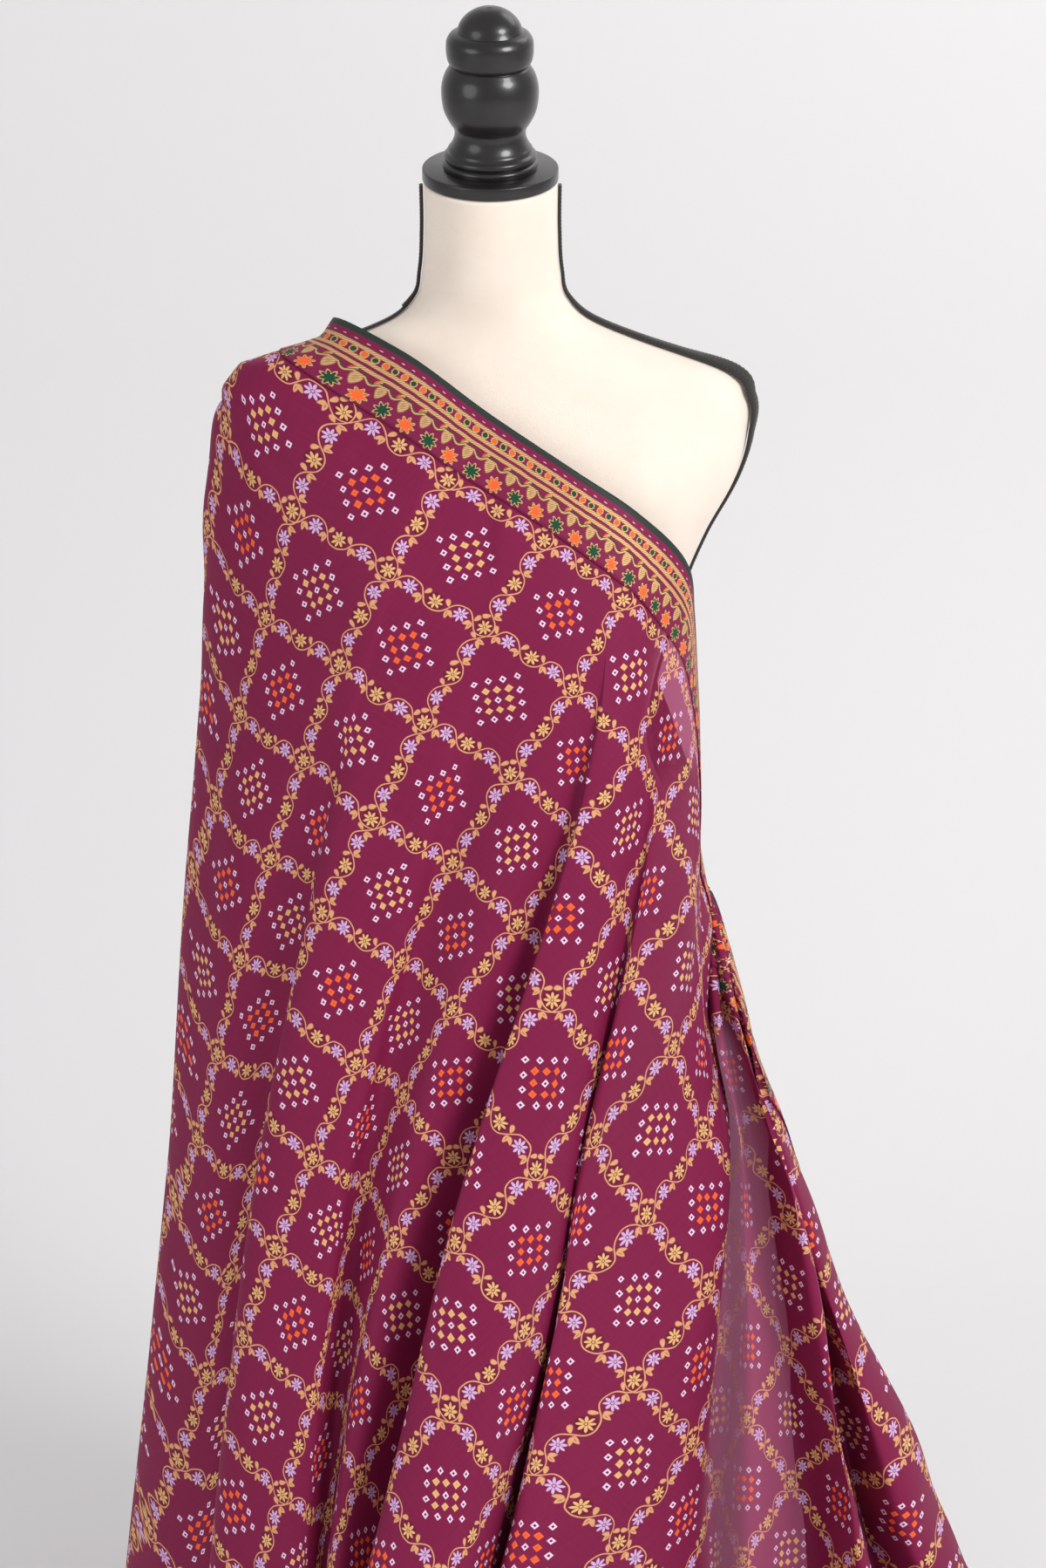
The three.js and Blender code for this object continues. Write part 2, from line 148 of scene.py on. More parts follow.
def with_ends(
    tube: np.ndarray, faces: np.ndarray, side: int
) -> tuple[np.ndarray, list]:
    """Closes both ends of a tube with fans round their middles.

    Args:
        tube: Points, sides by steps.
        faces: Quads of its wall.
        side: One, or minus one when the faces are turned round.

    Returns:
        The points in one list, and all the faces as lists.
    """
    sides, steps = tube.shape[:2]
    middle = sides * steps
    points = np.concatenate([tube.reshape(-1, 3), tube[:, [0, -1]].mean(0)])
    here = np.arange(sides) * steps
    after = np.roll(here, -1)
    end = steps - 1
    first = np.stack([after, here, np.full(sides, middle)], -1)
    last = np.stack([here + end, after + end, np.full(sides, middle + 1)], -1)
    caps = np.concatenate([first, last])[:, ::side]
    return points, [*faces.tolist(), *caps.tolist()]


def mesh_object(
    name: str,
    points: np.ndarray,
    faces: np.ndarray | list,
    finish: bpy.types.Material,
    uv: np.ndarray | None = None,
) -> bpy.types.Object:
    """Makes a smooth mesh object from millimetre points.

    Args:
        name: Name of the piece.
        points: Array of points in millimetres.
        faces: Array or list of indices, a row for each face.
        finish: Material of the piece.
        uv: A pair of coordinates for each point, in metres of cloth.

    Returns:
        The new object, linked to the scene.
    """
    mesh = bpy.data.meshes.new(name)
    rows = faces if isinstance(faces, list) else faces.tolist()
    mesh.from_pydata((points.reshape(-1, 3) * MM).tolist(), [], rows)
    mesh.polygons.foreach_set("use_smooth", np.ones(len(mesh.polygons), bool))
    if uv is not None:
        layer = mesh.uv_layers.new(name="UVMap")
        corner = np.empty(len(mesh.loops), int)
        mesh.loops.foreach_get("vertex_index", corner)
        layer.data.foreach_set("uv", uv.reshape(-1, 2)[corner].ravel())
    mesh.materials.append(finish)
    mesh.update()
    made = bpy.data.objects.new(name, mesh)
    bpy.context.scene.collection.objects.link(made)
    return made


# Shader graphs


def operator(name: str, swapped: bool = False) -> Callable[..., "Value"]:
    """Makes a method that adds one math node.

    Args:
        name: Operation of the node.
        swapped: Puts the value itself last among the node's inputs.

    Returns:
        The method.
    """

    def method(self: "Value", *others: object) -> "Value":
        """Adds the node to the value's graph."""
        return self.graph.math(name, *((*others, self) if swapped else (self, *others)))

    return method


class Value:
    """A shader value that is reckoned with like a number, by math nodes."""

    __add__ = __radd__ = operator("ADD")
    __sub__ = operator("SUBTRACT")
    __rsub__ = operator("SUBTRACT", swapped=True)
    __mul__ = __rmul__ = operator("MULTIPLY")
    __truediv__ = operator("DIVIDE")
    __pow__ = operator("POWER")
    __mod__ = operator("MODULO")
    __abs__ = operator("ABSOLUTE")
    floor = operator("FLOOR")
    fraction = operator("FRACT")
    root = operator("SQRT")
    sine = operator("SINE")
    cosine = operator("COSINE")
    angle = operator("ARCTAN2")
    least = operator("MINIMUM")

    def __init__(self, graph: "Graph", socket: bpy.types.NodeSocket) -> None:
        """Holds one output socket of a graph."""
        self.graph = graph
        self.socket = socket

    def nearest(self) -> "Value":
        """Nearest whole number."""
        return (self + 0.5).floor()


class Graph:
    """Short words for building shader node trees."""

    def __init__(self, tree: bpy.types.NodeTree) -> None:
        """Works on one node tree."""
        self.tree = tree

    def node(self, kind: str, **settings: object) -> bpy.types.Node:
        """Adds a node of one kind and sets its plain properties."""
        made = self.tree.nodes.new(kind)
        for key, value in settings.items():
            setattr(made, key, value)
        return made

    def fill(self, node: bpy.types.Node, inputs: dict[str | int, object]) -> None:
        """Links values to a node's inputs, or sets them where they are constants."""
        for key, value in inputs.items():
            value = value.socket if isinstance(value, Value) else value
            if isinstance(value, bpy.types.NodeSocket):
                self.tree.links.new(value, node.inputs[key])
            else:
                node.inputs[key].default_value = value

    def value(
        self, kind: str, inputs: dict | None = None, output: int | str = 0, **settings: object
    ) -> Value:
        """One output of a new node with its inputs filled."""
        made = self.node(kind, **settings)
        self.fill(made, inputs or {})
        return Value(self, made.outputs[output])

    def math(self, operation: str, *values: object) -> Value:
        """A math node over values or numbers."""
        return self.value("ShaderNodeMath", dict(enumerate(values)), operation=operation)

    def most(self, *values: object) -> Value:
        """Largest of several values."""
        best = values[0]
        for value in values[1:]:
            best = self.math("MAXIMUM", best, value)
        return best

    def inside(self, value: Value, edge: object, soft: float) -> Value:
        """One where value is under edge, fading over a soft width."""
        inputs = {"Value": edge - value, "From Min": -soft, "From Max": soft}
        return self.value("ShaderNodeMapRange", inputs, interpolation_type="SMOOTHSTEP")

    def between(self, value: Value, low: float, high: float, soft: float = 0.25) -> Value:
        """One where value lies between two edges."""
        return self.inside(abs(value - (low + high) / 2), (high - low) / 2, soft)

    def length(self, x: object, y: Value) -> Value:
        """Distance from the middle."""
        return (x * x + y * y).root()

    def blend(self, share: object, under: object, over: object) -> Value:
        """Colour mix by a mask."""
        return self.value("ShaderNodeMix", {0: share, 6: under, 7: over}, 2, data_type="RGBA")

    def noise(
        self, vector: Value, scale: float, detail: float = 2.0, output: int | str = 0
    ) -> Value:
        """Noise over a vector, as a value or with output Color as three."""
        inputs = {"Vector": vector, "Scale": scale, "Detail": detail}
        return self.value("ShaderNodeTexNoise", inputs, output)

    def bump(self, height: Value, strength: float, distance: float) -> Value:
        """Normal of a raised surface, with its greatest height in metres."""
        inputs = {"Height": height, "Strength": strength, "Distance": distance}
        return self.value("ShaderNodeBump", inputs)

    def split(self, vector: Value) -> list[Value]:
        """The three parts of a vector."""
        made = self.node("ShaderNodeSeparateXYZ")
        self.fill(made, {0: vector})
        return [Value(self, socket) for socket in made.outputs]

    def join(self, x: Value, y: Value) -> Value:
        """A vector from two parts."""
        return self.value("ShaderNodeCombineXYZ", {0: x, 1: y})

    def vector(self, operation: str, a: Value, b: object) -> Value:
        """A vector math node."""
        return self.value("ShaderNodeVectorMath", {0: a, 1: b}, operation=operation)

    def scaled(self, vector: Value, by: float) -> Value:
        """A vector times a number."""
        inputs = {0: vector, "Scale": by}
        return self.value("ShaderNodeVectorMath", inputs, operation="SCALE")

    def oval(self, x: Value, y: Value, long: float, wide: float, soft: float) -> Value:
        """One inside an ellipse round the origin."""
        return self.inside(self.length(x / long, y / wide), 1.0, soft)

    def leaf(self, x: Value, y: Value, middle: tuple, tilt: float, sizes: tuple) -> Value:
        """One inside a leaf: a tilted ellipse that narrows towards its tip.

        Args:
            x: Coordinate along the line.
            y: Coordinate across it.
            middle: Place of the leaf's middle.
            tilt: Angle of its long axis in degrees.
            sizes: Half its length and half its width.

        Returns:
            The mask.
        """
        c, s = math.cos(math.radians(tilt)), math.sin(math.radians(tilt))
        dx, dy = x - middle[0], y - middle[1]
        long = dx * c + dy * s
        taper = 1.0 - long * (0.35 / sizes[0])
        return self.oval(long, (dy * c - dx * s) / taper, *sizes, 0.2)

    def group(self, tree: bpy.types.NodeTree, **inputs: object) -> dict[str, Value]:
        """The outputs of a node group, by name."""
        made = self.node("ShaderNodeGroup", node_tree=tree)
        self.fill(made, inputs)
        return {socket.name: Value(self, socket) for socket in made.outputs}

    def see_through(self, share: object, tint: tuple = (1.0, 1.0, 1.0, 1.0)) -> None:
        """Mixes a share of tinted clear shader into a material's own."""
        nodes = self.tree.nodes
        clear = self.value("ShaderNodeBsdfTransparent", {"Color": tint})
        inputs = {0: share, 1: nodes["Principled BSDF"].outputs[0], 2: clear}
        mixed = self.value("ShaderNodeMixShader", inputs)
        self.fill(nodes["Material Output"], {"Surface": mixed})


def new_group(
    name: str, inputs: dict[str, object], outputs: dict[str, str]
) -> tuple[Graph, dict[str, Value], bpy.types.Node]:
    """Starts a node group.

    Args:
        name: Name of the group.
        inputs: Name and default: a number, a colour of four or a vector of three.
        outputs: Name and kind, Color or Float.

    Returns:
        The graph, its inputs by name, and the output node.
    """
    tree = bpy.data.node_groups.new(name, "ShaderNodeTree")

    def socket(key: str, way: str, kind: str) -> bpy.types.NodeTreeInterfaceSocket:
        """Adds a socket to the group."""
        return tree.interface.new_socket(name=key, in_out=way, socket_type=f"NodeSocket{kind}")

    for key, value in inputs.items():
        kind = "Float"
        if isinstance(value, tuple):
            kind = "Color" if len(value) == 4 else "Vector"
        socket(key, "INPUT", kind).default_value = value
    for key, kind in outputs.items():
        socket(key, "OUTPUT", kind)
    graph = Graph(tree)
    source = graph.node("NodeGroupInput")
    values = {s.name: Value(graph, s) for s in source.outputs if s.name}
    return graph, values, graph.node("NodeGroupOutput")


def rgb(red: int, green: int, blue: int) -> tuple[float, float, float, float]:
    """Linear colour from display values of 0 to 255."""
    parts = np.array([red, green, blue]) / 255
    linear = np.where(parts > 0.04045, ((parts + 0.055) / 1.055) ** 2.4, parts / 12.92)
    return (*[float(v) for v in linear], 1.0)


@dataclass(frozen=True)
class Palette:
    """Colours of the print and the trims."""

    ground: tuple = rgb(136, 29, 74)
    ground_dark: tuple = rgb(100, 16, 50)
    disc: tuple = rgb(98, 22, 44)
    gold: tuple = rgb(234, 184, 122)
    gold_bright: tuple = rgb(240, 200, 132)
    vine: tuple = rgb(228, 170, 118)
    lilac: tuple = rgb(214, 180, 222)
    white: tuple = rgb(244, 214, 240)
    orange: tuple = rgb(250, 104, 48)
    green: tuple = rgb(22, 74, 50)
    binding: tuple = rgb(46, 56, 51)
    linen: tuple = rgb(248, 236, 222)
    linen_shade: tuple = rgb(222, 204, 186)


class PrintPattern:
    """The printed grid of flower chains with a dotted diamond in each square.

    Lengths are in millimetres. A leaf is given by its middle, its tilt in degrees and
    half its length and width. A ring of squares is given by their pitch, their shift in
    pitches, the ring's rank and half a square's side.
    """

    pitch = 80.0
    offset = 58.0
    drift = 3.0
    thread = 0.7
    step = 20.0
    petals = 8
    petal_out = 3.35
    petal_size = (2.2, 0.9)
    eye = 0.75
    disc = 6.4
    vine = 0.44
    arc_height = 6.6
    arc_round = 0.5
    leaves = (
        ((0.9, 4.4), 84.0, (3.1, 1.55)),
        ((3.4, 3.1), 38.0, (2.9, 1.45)),
        ((-1.9, -3.4), 58.0, (2.9, 1.6)),
    )
    slit = ((0.9, 4.2), 84.0, (1.5, 0.35))
    outer = (10.2, 0.5, 1.5, 1.9)
    inner = (7.9, 0.0, 1.0, 2.1)
    middle = (7.9, 0.0, 0.0, 1.85)
    hole = 0.8
    heart = 0.7

    def __init__(self, palette: Palette) -> None:
        """Takes the colours of the pattern."""
        self.palette = palette

    def chain(self) -> bpy.types.NodeTree:
        """One line of the grid.

        Flowers sit a quarter of the grid apart, gold and lilac in turn. Each has eight
        petals, ellipses on spokes. A vine waves over one and under the next, with leaves
        on the two free sides where it crosses the line. The vine is a cosine wave divided
        by the root of arc_round + (1 - arc_round) times its square, for rounder arcs.
        """
        g, at, out = new_group(
            "chain_print",
            {"Along": 0.0, "Across": 0.0},
            {"Gold": "Float", "Lilac": "Float", "Vine": "Float", "Disc": "Float"},
        )
        along, y = at["Along"], at["Across"]
        place = along.nearest()
        x = (along - place) * self.step
        odd = abs(place) % 2.0
        radius = g.length(x, y)
        spokes = y.angle(x) * (self.petals / (2 * math.pi))
        turn = (spokes - spokes.nearest()) * (2 * math.pi / self.petals)
        petal_x = radius * turn.cosine() - self.petal_out
        petal = g.oval(petal_x, radius * turn.sine(), *self.petal_size, 0.16)
        flower = g.most(petal, g.inside(radius, self.eye, 0.3))
        turns = along * math.pi
        rise = turns.cosine()
        wide = rise * rise * (1.0 - self.arc_round) + self.arc_round
        wave = rise / wide.root() * self.arc_height
        fall = turns.sine() / wide**1.5
        steep = fall * (self.arc_height * self.arc_round * math.pi / self.step)
        vine = g.inside(abs(y - wave) / g.length(1.0, steep), self.vine, self.vine / 2)
        side = 1.0 - abs(along.floor() % 2.0) * 2.0
        node_x = (along.fraction() - 0.5) * self.step * side
        leaves = g.most(*(g.leaf(node_x, y, *leaf) for leaf in self.leaves))
        slit = g.leaf(node_x, y, *self.slit)
        masks = {
            "Gold": flower * (1.0 - odd),
            "Lilac": flower * odd,
            "Vine": g.most(vine, leaves * (1.0 - slit * 0.6)),
            "Disc": g.inside(radius, self.disc, 0.4) * (1.0 - odd),
        }
        g.fill(out, masks)
        return g.tree

    def diamond(self) -> bpy.types.NodeTree:
        """The dotted diamond: twelve open squares round eight solid ones and one more."""
        g, at, out = new_group(
            "diamond_print",
            {"X": 0.0, "Y": 0.0},
            {"White": "Float", "Inner": "Float", "Dark": "Float", "Heart": "Float"},
        )
        half = math.sqrt(0.5)
        p = (at["X"] + at["Y"]) * half
        q = (at["Y"] - at["X"]) * half

        def squares(pitch: float, shift: float, rank: float, side: float) -> tuple:
            """Squares of one ring of the motif, and the distance from their middles."""
            i, j = ((line / pitch + shift).nearest() - shift for line in (p, q))
            dp, dq = p - i * pitch, q - j * pitch
            chosen = g.between(g.most(abs(i), abs(j)), rank - 0.1, rank + 0.1, 0.05)
            spread = g.most(abs((dp - dq) * half), abs((dp + dq) * half))
            return g.inside(spread, side, 0.25) * chosen, spread

        outer, outer_spread = squares(*self.outer)
        inner, inner_spread = squares(*self.inner)
        middle, middle_spread = squares(*self.middle)
        hole = g.inside(outer_spread, self.hole, 0.25) * outer
        middle_hole = g.inside(middle_spread, self.hole, 0.25) * middle
        masks = {
            "White": g.most(outer, middle),
            "Inner": inner,
            "Dark": g.most(hole, middle_hole),
            "Heart": g.inside(inner_spread, self.heart, 0.4) * inner,
        }
        g.fill(out, masks)
        return g.tree

    def build(self) -> bpy.types.NodeTree:
        """The whole print, from cloth coordinates in metres."""
        inks = {
            "Ground": self.palette.ground,
            "Ground Dark": self.palette.ground_dark,
            "Disc Color": self.palette.disc,
            "Gold": self.palette.gold,
            "Vine": self.palette.vine,
            "Lilac": self.palette.lilac,
            "White": self.palette.white,
            "Orange": self.palette.orange,
        }
        g, at, out = new_group(
            "grid_print",
            {"Cloth": (0.0, 0.0, 0.0), "Pitch": self.pitch, "Offset": self.offset, **inks},
            {"Color": "Color", "Print": "Float", "Weave": "Float"},
        )
        raw = g.scaled(at["Cloth"], 1 / MM)
        jitter = g.noise(raw, 0.07, 1.0, "Color")
        shift = g.scaled(g.vector("SUBTRACT", jitter, (0.5, 0.5, 0.5)), self.drift)
        x, y, _ = g.split(g.vector("ADD", raw, shift))
        u, v = x / at["Pitch"], (y - at["Offset"]) / at["Pitch"]
        du, dv = ((line - line.nearest()) * at["Pitch"] for line in (u, v))
        chain, flowers = self.chain(), self.pitch / self.step
        rows = g.group(chain, Along=u * flowers, Across=dv)
        posts = g.group(chain, Along=v * flowers, Across=du)
        cell_x, cell_y = ((line.fraction() - 0.5) * at["Pitch"] for line in (u, v))
        diamond = g.group(self.diamond(), X=cell_x, Y=cell_y)
        odd = abs(u.floor() + v.floor()) % 2.0
        both = {key: g.most(rows[key], posts[key]) for key in ("Vine", "Gold", "Lilac", "Disc")}
        soft = g.noise(g.join(x * 0.02, y * 0.5), 1.0, 3.0)
        slub = g.noise(g.join(x * 0.6, y * 0.03), 1.0, 3.0)
        patchy = soft * 0.6 + slub * 0.6
        worn = (g.noise(raw, 0.35, 4.0) * 0.5 + 0.7).least(1.0)
        inner = g.blend(odd, at["Orange"], at["Gold"])
        color = g.blend(patchy * 0.55, at["Ground"], at["Ground Dark"])
        for mask, ink in (
            (both["Disc"] * 0.75, at["Disc Color"]),
            (both["Vine"] * (worn * 0.95), at["Vine"]),
            (both["Lilac"] * worn, at["Lilac"]),
            (both["Gold"] * worn, at["Gold"]),
            (diamond["White"] * worn, at["White"]),
            (diamond["Inner"] * worn, inner),
            (diamond["Heart"] * 0.25, at["Ground"]),
            (diamond["Dark"], at["Ground Dark"]),
        ):
            color = g.blend(mask, color, ink)
        chains = (both["Vine"], both["Gold"], both["Lilac"])
        warp, weft = ((line * (2 * math.pi / self.thread)).sine() for line in (x, y))
        results = {
            "Color": color,
            "Print": g.most(*chains, diamond["White"], diamond["Inner"]),
            "Weave": (warp + weft) * 0.25 + patchy,
        }
        g.fill(out, results)
        return g.tree


class BorderPattern:
    """The embroidered border, row by row from its outer edge inwards, in millimetres.

    Binding, plain strip with stitches, gold cord, rings, gold cord, plain strip, gold
    cord, scrolling stems with hanging buds, and a row of eight-pointed stars. Buds and
    drops are given like the leaves of the print.
    """

    soft = 0.3
    binding = 4.0
    stitch_row = 7.2
    stitch_pitch = 9.0
    stitch_size = (1.4, 0.35)
    cords = (11.0, 18.9, 24.0)
    cord_width = 2.9
    ring_row = 14.9
    ring_pitch = 7.85
    ring_radii = (1.7, 2.9)
    disc = 1.9
    stem_row = 28.2
    stem_swing = 2.6
    stem_width = 0.5
    twin_offset = 1.4
    twin_width = 0.85
    drop_row = 30.0
    drop = ((3.6, -1.4), 125.0, (4.0, 1.4))
    drop_red = ((2.6, -2.2), 125.0, (1.8, 0.8))
    bud_row = 33.4
    bud = ((0.0, 0.0), 90.0, (4.9, 3.5))
    bud_heart = ((0.0, -0.3), 90.0, (2.6, 1.5))
    star_row = 43.0
    star_pitch = 18.0
    star_points = 8
    star_waist = 4.2
    star_point = 2.6
    star_rim = 1.5

    def __init__(self, palette: Palette) -> None:
        """Takes the colours of the pattern."""
        self.palette = palette

    def repeat(self, x: Value, pitch: float, shift: float = 0.0) -> tuple[Value, Value]:
        """Distance from the middle of a repeat, and one for every other repeat."""
        turns = (x + shift) / pitch
        place = turns.nearest()
        return (turns - place) * pitch, abs(place) % 2.0

    def build(self) -> bpy.types.NodeTree:
        """The colours, metal and height of the border from cloth coordinates."""
        inks = {
            "Ground": self.palette.ground,
            "Gold": self.palette.gold_bright,
            "Green": self.palette.green,
            "Orange": self.palette.orange,
            "Binding": self.palette.binding,
            "White": self.palette.white,
        }
        g, at, out = new_group(
            "border_work",
            {"Cloth": (0.0, 0.0, 0.0), **inks},
            {"Color": "Color", "Metal": "Float", "Height": "Float"},
        )
        raw = g.scaled(at["Cloth"], 1 / MM)
        wobble = (g.noise(raw, 0.12) - 0.5) * 1.2
        x, edge, _ = g.split(raw)
        y = edge + wobble
        thread = ((x + y) * 3.4).sine() * 0.32 + 0.68
        rough = g.noise(raw, 1.3, 3.0)
        half = self.cord_width / 2
        cords = g.most(*(g.between(y, row - half, row + half) for row in self.cords))
        ring_x, ring_odd = self.repeat(x, self.ring_pitch)
        ring_r = g.length(ring_x, y - self.ring_row)
        ring = g.between(ring_r, *self.ring_radii)
        disc = g.inside(ring_r, self.disc, 0.25)
        star_x, star_odd = self.repeat(x, self.star_pitch)
        star_y = y - self.star_row
        star_r = g.length(star_x, star_y)
        point = abs((star_y.angle(star_x) * (self.star_points / 2)).cosine())
        reach = point**1.6 * self.star_point + self.star_waist
        star = g.inside(star_r, reach, self.soft)
        star_heart = g.inside(star_r, reach - self.star_rim, self.soft)
        bud_x, _ = self.repeat(x, self.star_pitch, self.star_pitch / 2)
        bud, bud_heart = (
            g.leaf(bud_x, y - self.bud_row, *leaf) for leaf in (self.bud, self.bud_heart)
        )
        swing = (x * (2 * math.pi / self.star_pitch)).cosine() * self.stem_swing
        stem_y = g.most(swing, -0.6) + self.stem_row
        stem = g.inside(abs(y - stem_y), self.stem_width, self.soft)
        twin = g.inside(abs(y - (stem_y + self.twin_offset)), self.twin_width, self.soft)
        drop, drop_red = (
            g.leaf(star_x, y - self.drop_row, *leaf) for leaf in (self.drop, self.drop_red)
        )
        stitch_x, _ = self.repeat(x, self.stitch_pitch)
        stitch = g.oval(stitch_x, y - self.stitch_row, *self.stitch_size, self.soft)
        gold = g.most(cords, ring, star - star_heart, bud, twin, drop)
        color = g.blend(rough * 0.5, at["Ground"], self.palette.ground_dark)
        for mask, ink in (
            (g.inside(y, self.binding, 0.35), at["Binding"]),
            (stitch * 0.7, at["White"]),
            (gold * thread, at["Gold"]),
            (bud_heart * 0.2, at["Green"]),
            (disc, g.blend(ring_odd, at["Orange"], at["Green"])),
            (star_heart, g.blend(star_odd, at["Orange"], at["Green"])),
            (stem * 0.8, at["Green"]),
            (drop_red * 0.8, at["Orange"]),
        ):
            color = g.blend(mask, color, ink)
        raised = g.most(gold, star * 0.9, disc * 0.7, stem * 0.6)
        relief = raised * 0.7 + raised * thread * 0.3
        g.fill(out, {"Color": color, "Metal": gold * 0.35, "Height": relief + rough * 0.15})
        return g.tree


class Finishes:
    """Materials of the whole piece."""

    def __init__(self, palette: Palette) -> None:
        """Builds the node groups that the cloth's materials share."""
        self.palette = palette
        self.print_tree = PrintPattern(palette).build()
        self.border_tree = BorderPattern(palette).build()

    def _start(self, name: str) -> tuple[Graph, bpy.types.Node, bpy.types.Material]:
        """A new material with its graph and its main shader."""
        made = bpy.data.materials.new(name)
        made.use_nodes = True
        return Graph(made.node_tree), made.node_tree.nodes["Principled BSDF"], made

    def cloth(self) -> bpy.types.Material:
        """Fine, slightly sheer silk and cotton with the printed grid."""
        g, shader, made = self._start("saree_cloth")
        uv = g.value("ShaderNodeUVMap", uv_map="UVMap")
        pattern = g.group(self.print_tree, Cloth=uv)
        surface = {
            "Base Color": pattern["Color"],
            "Roughness": 0.62,
            "Specular IOR Level": 0.16,
            "Sheen Weight": 0.06,
            "Sheen Roughness": 0.35,
            "Sheen Tint": (0.8, 0.3, 0.5, 1.0),
            "Normal": g.bump(pattern["Weave"], 0.12, 0.0006),
        }
        g.fill(shader, surface)
        thin = g.value("ShaderNodeAttribute", output="Fac", attribute_name="sheer")
        g.see_through(thin * (1.0 - pattern["Print"] * 0.45), (1.0, 0.4, 0.64, 1.0))
        return made

    def border(self) -> bpy.types.Material:
        """Embroidery in gold, green and orange over wine red."""
        g, shader, made = self._start("saree_border")
        uv = g.value("ShaderNodeUVMap", uv_map="UVMap")
        work = g.group(self.border_tree, Cloth=uv)
        surface = {
            "Base Color": work["Color"],
            "Metallic": work["Metal"],
            "Roughness": 0.55,
            "Specular IOR Level": 0.22,
            "Normal": g.bump(work["Height"], 0.9, 0.0009),
        }
        g.fill(shader, surface)
        return made

    def linen(self) -> bpy.types.Material:
        """Matt linen cover with a fine plain weave."""
        g, shader, made = self._start("form_cover")
        place = g.value("ShaderNodeTexCoord", output="Object")
        x, y, z = g.split(place)
        weave = ((x + y * 0.6) * 5200.0).sine() * (z * 5200.0).sine()
        cloudy = g.noise(place, 28.0, 4.0)
        surface = {
            "Base Color": g.blend(cloudy * 0.5, self.palette.linen, self.palette.linen_shade),
            "Roughness": 0.9,
            "Specular IOR Level": 0.15,
            "Sheen Weight": 0.3,
            "Normal": g.bump(weave + cloudy, 0.2, 0.0004),
        }
        g.fill(shader, surface)
        return made

    def lacquer(self, name: str, roughness: float) -> bpy.types.Material:
        """Black satin paint with slight unevenness."""
        g, shader, made = self._start(name)
        cloudy = g.noise(g.value("ShaderNodeTexCoord", output="Object"), 40.0, 3.0)
        surface = {
            "Base Color": g.blend(cloudy, rgb(16, 14, 14), rgb(34, 31, 30)),
            "Roughness": cloudy * 0.12 + roughness,
            "Coat Weight": 0.25,
        }
        g.fill(shader, surface)
        return made

    def braid(self) -> bpy.types.Material:
        """Black cotton braid."""
        g, shader, made = self._start("braid_cotton")
        fuzz = g.noise(g.value("ShaderNodeTexCoord", output="Object"), 900.0, 3.0)
        surface = {
            "Base Color": g.blend(fuzz, rgb(14, 12, 11), rgb(52, 46, 42)),
            "Roughness": 0.8,
            "Sheen Weight": 0.3,
        }
        g.fill(shader, surface)
        return made


# The padded form

# The body from the hip up: height, half width, front and back depth, how far the middle
# lies to the back, and how far the ring tips.
SECTIONS = np.array(
    [
        (640, 163, 100, 112, 0, 0),
        (700, 166, 104, 120, 0, 0),
        (760, 155, 98, 112, 0, 0),
        (805, 136, 88, 96, 0, 0),
        (850, 119, 84, 82, 0, 0),
        (895, 123, 102, 82, 0, 0),
        (940, 135, 120, 88, 0, 0),
        (980, 147, 122, 92, 0, 0),
        (1015, 162, 112, 94, 0, 0),
        (1056, 184, 97, 93, 0, 0),
        (1090, 193, 82, 87, 0, 0),
        (1118, 195, 66, 76, 0, 0),
        (1136, 184, 54, 64, 0, 0),
        (1148, 143, 49, 57, 0, 0),
        (1160, 107, 47, 53, 0, 0),
        (1174, 74, 47, 51, -1, 0.02),
        (1191, 56, 48, 50, -4, 0.07),
        (1212, 51, 49, 49, -9, 0.14),
        (1242, 49, 49, 49, -17, 0.21),
        (1279.3, 49, 49, 49, -27.3, 0.255),
    ],
    float,
)


# The braid from the neck down: height, width, thickness, how far it lies to the front.
BRAID = np.array(
    [
        (1280, 4.4, 3.0, 0),
        (1205, 4.8, 3.0, 0),
        (1178, 9.5, 4.2, 0),
        (1150, 12, 4.6, -2),
        (1132, 12.5, 4.8, -13),
        (1090, 10, 4.0, -8),
        (1045, 8, 2.6, 0),
        (640, 7, 2.6, 0),
    ],
    float,
)

# Turned pieces: height, radius, one where the line turns sharply.
CAP = (
    (-4.7, 0, 1),
    (-4.7, 48.9, 1),
    (-4.35, 49.7, 0),
    (-3.6, 50, 1),
    (3.6, 50, 1),
    (4.35, 49.7, 0),
    (4.7, 48.9, 1),
    (4.7, 0, 1),
)
FINIAL = (
    (0, 0, 1),
    (0, 34.5, 1),
    (3.9, 34.5, 0),
    (4.7, 33.8, 1),
    (5.4, 32.5, 1),
    (6.4, 33.4, 0),
    (8.2, 33.9, 0),
    (10.4, 33.4, 0),
    (11.4, 32.2, 1),
    (12.2, 31.3, 1),
    (14.0, 31.0, 0),
    (16.5, 29.2, 0),
    (20.5, 27.1, 0),
    (25.5, 26.0, 0),
    (29.5, 26.6, 0),
    (34, 29.4, 0),
    (42, 33.4, 0),
    (52, 35.3, 0),
    (62, 35.1, 0),
    (70, 32.7, 0),
    (75.5, 29.4, 1),
    (76.4, 28.4, 1),
    (79, 30.2, 0),
    (84, 31.5, 0),
    (89.5, 31.8, 0),
    (95, 31.2, 0),
    (99.2, 28.4, 0),
    (101, 24.4, 1),
    (102.6, 23.6, 0),
    (107, 21.8, 0),
    (113, 16.8, 0),
    (117.3, 9.4, 0),
    (119, 0, 1),
)


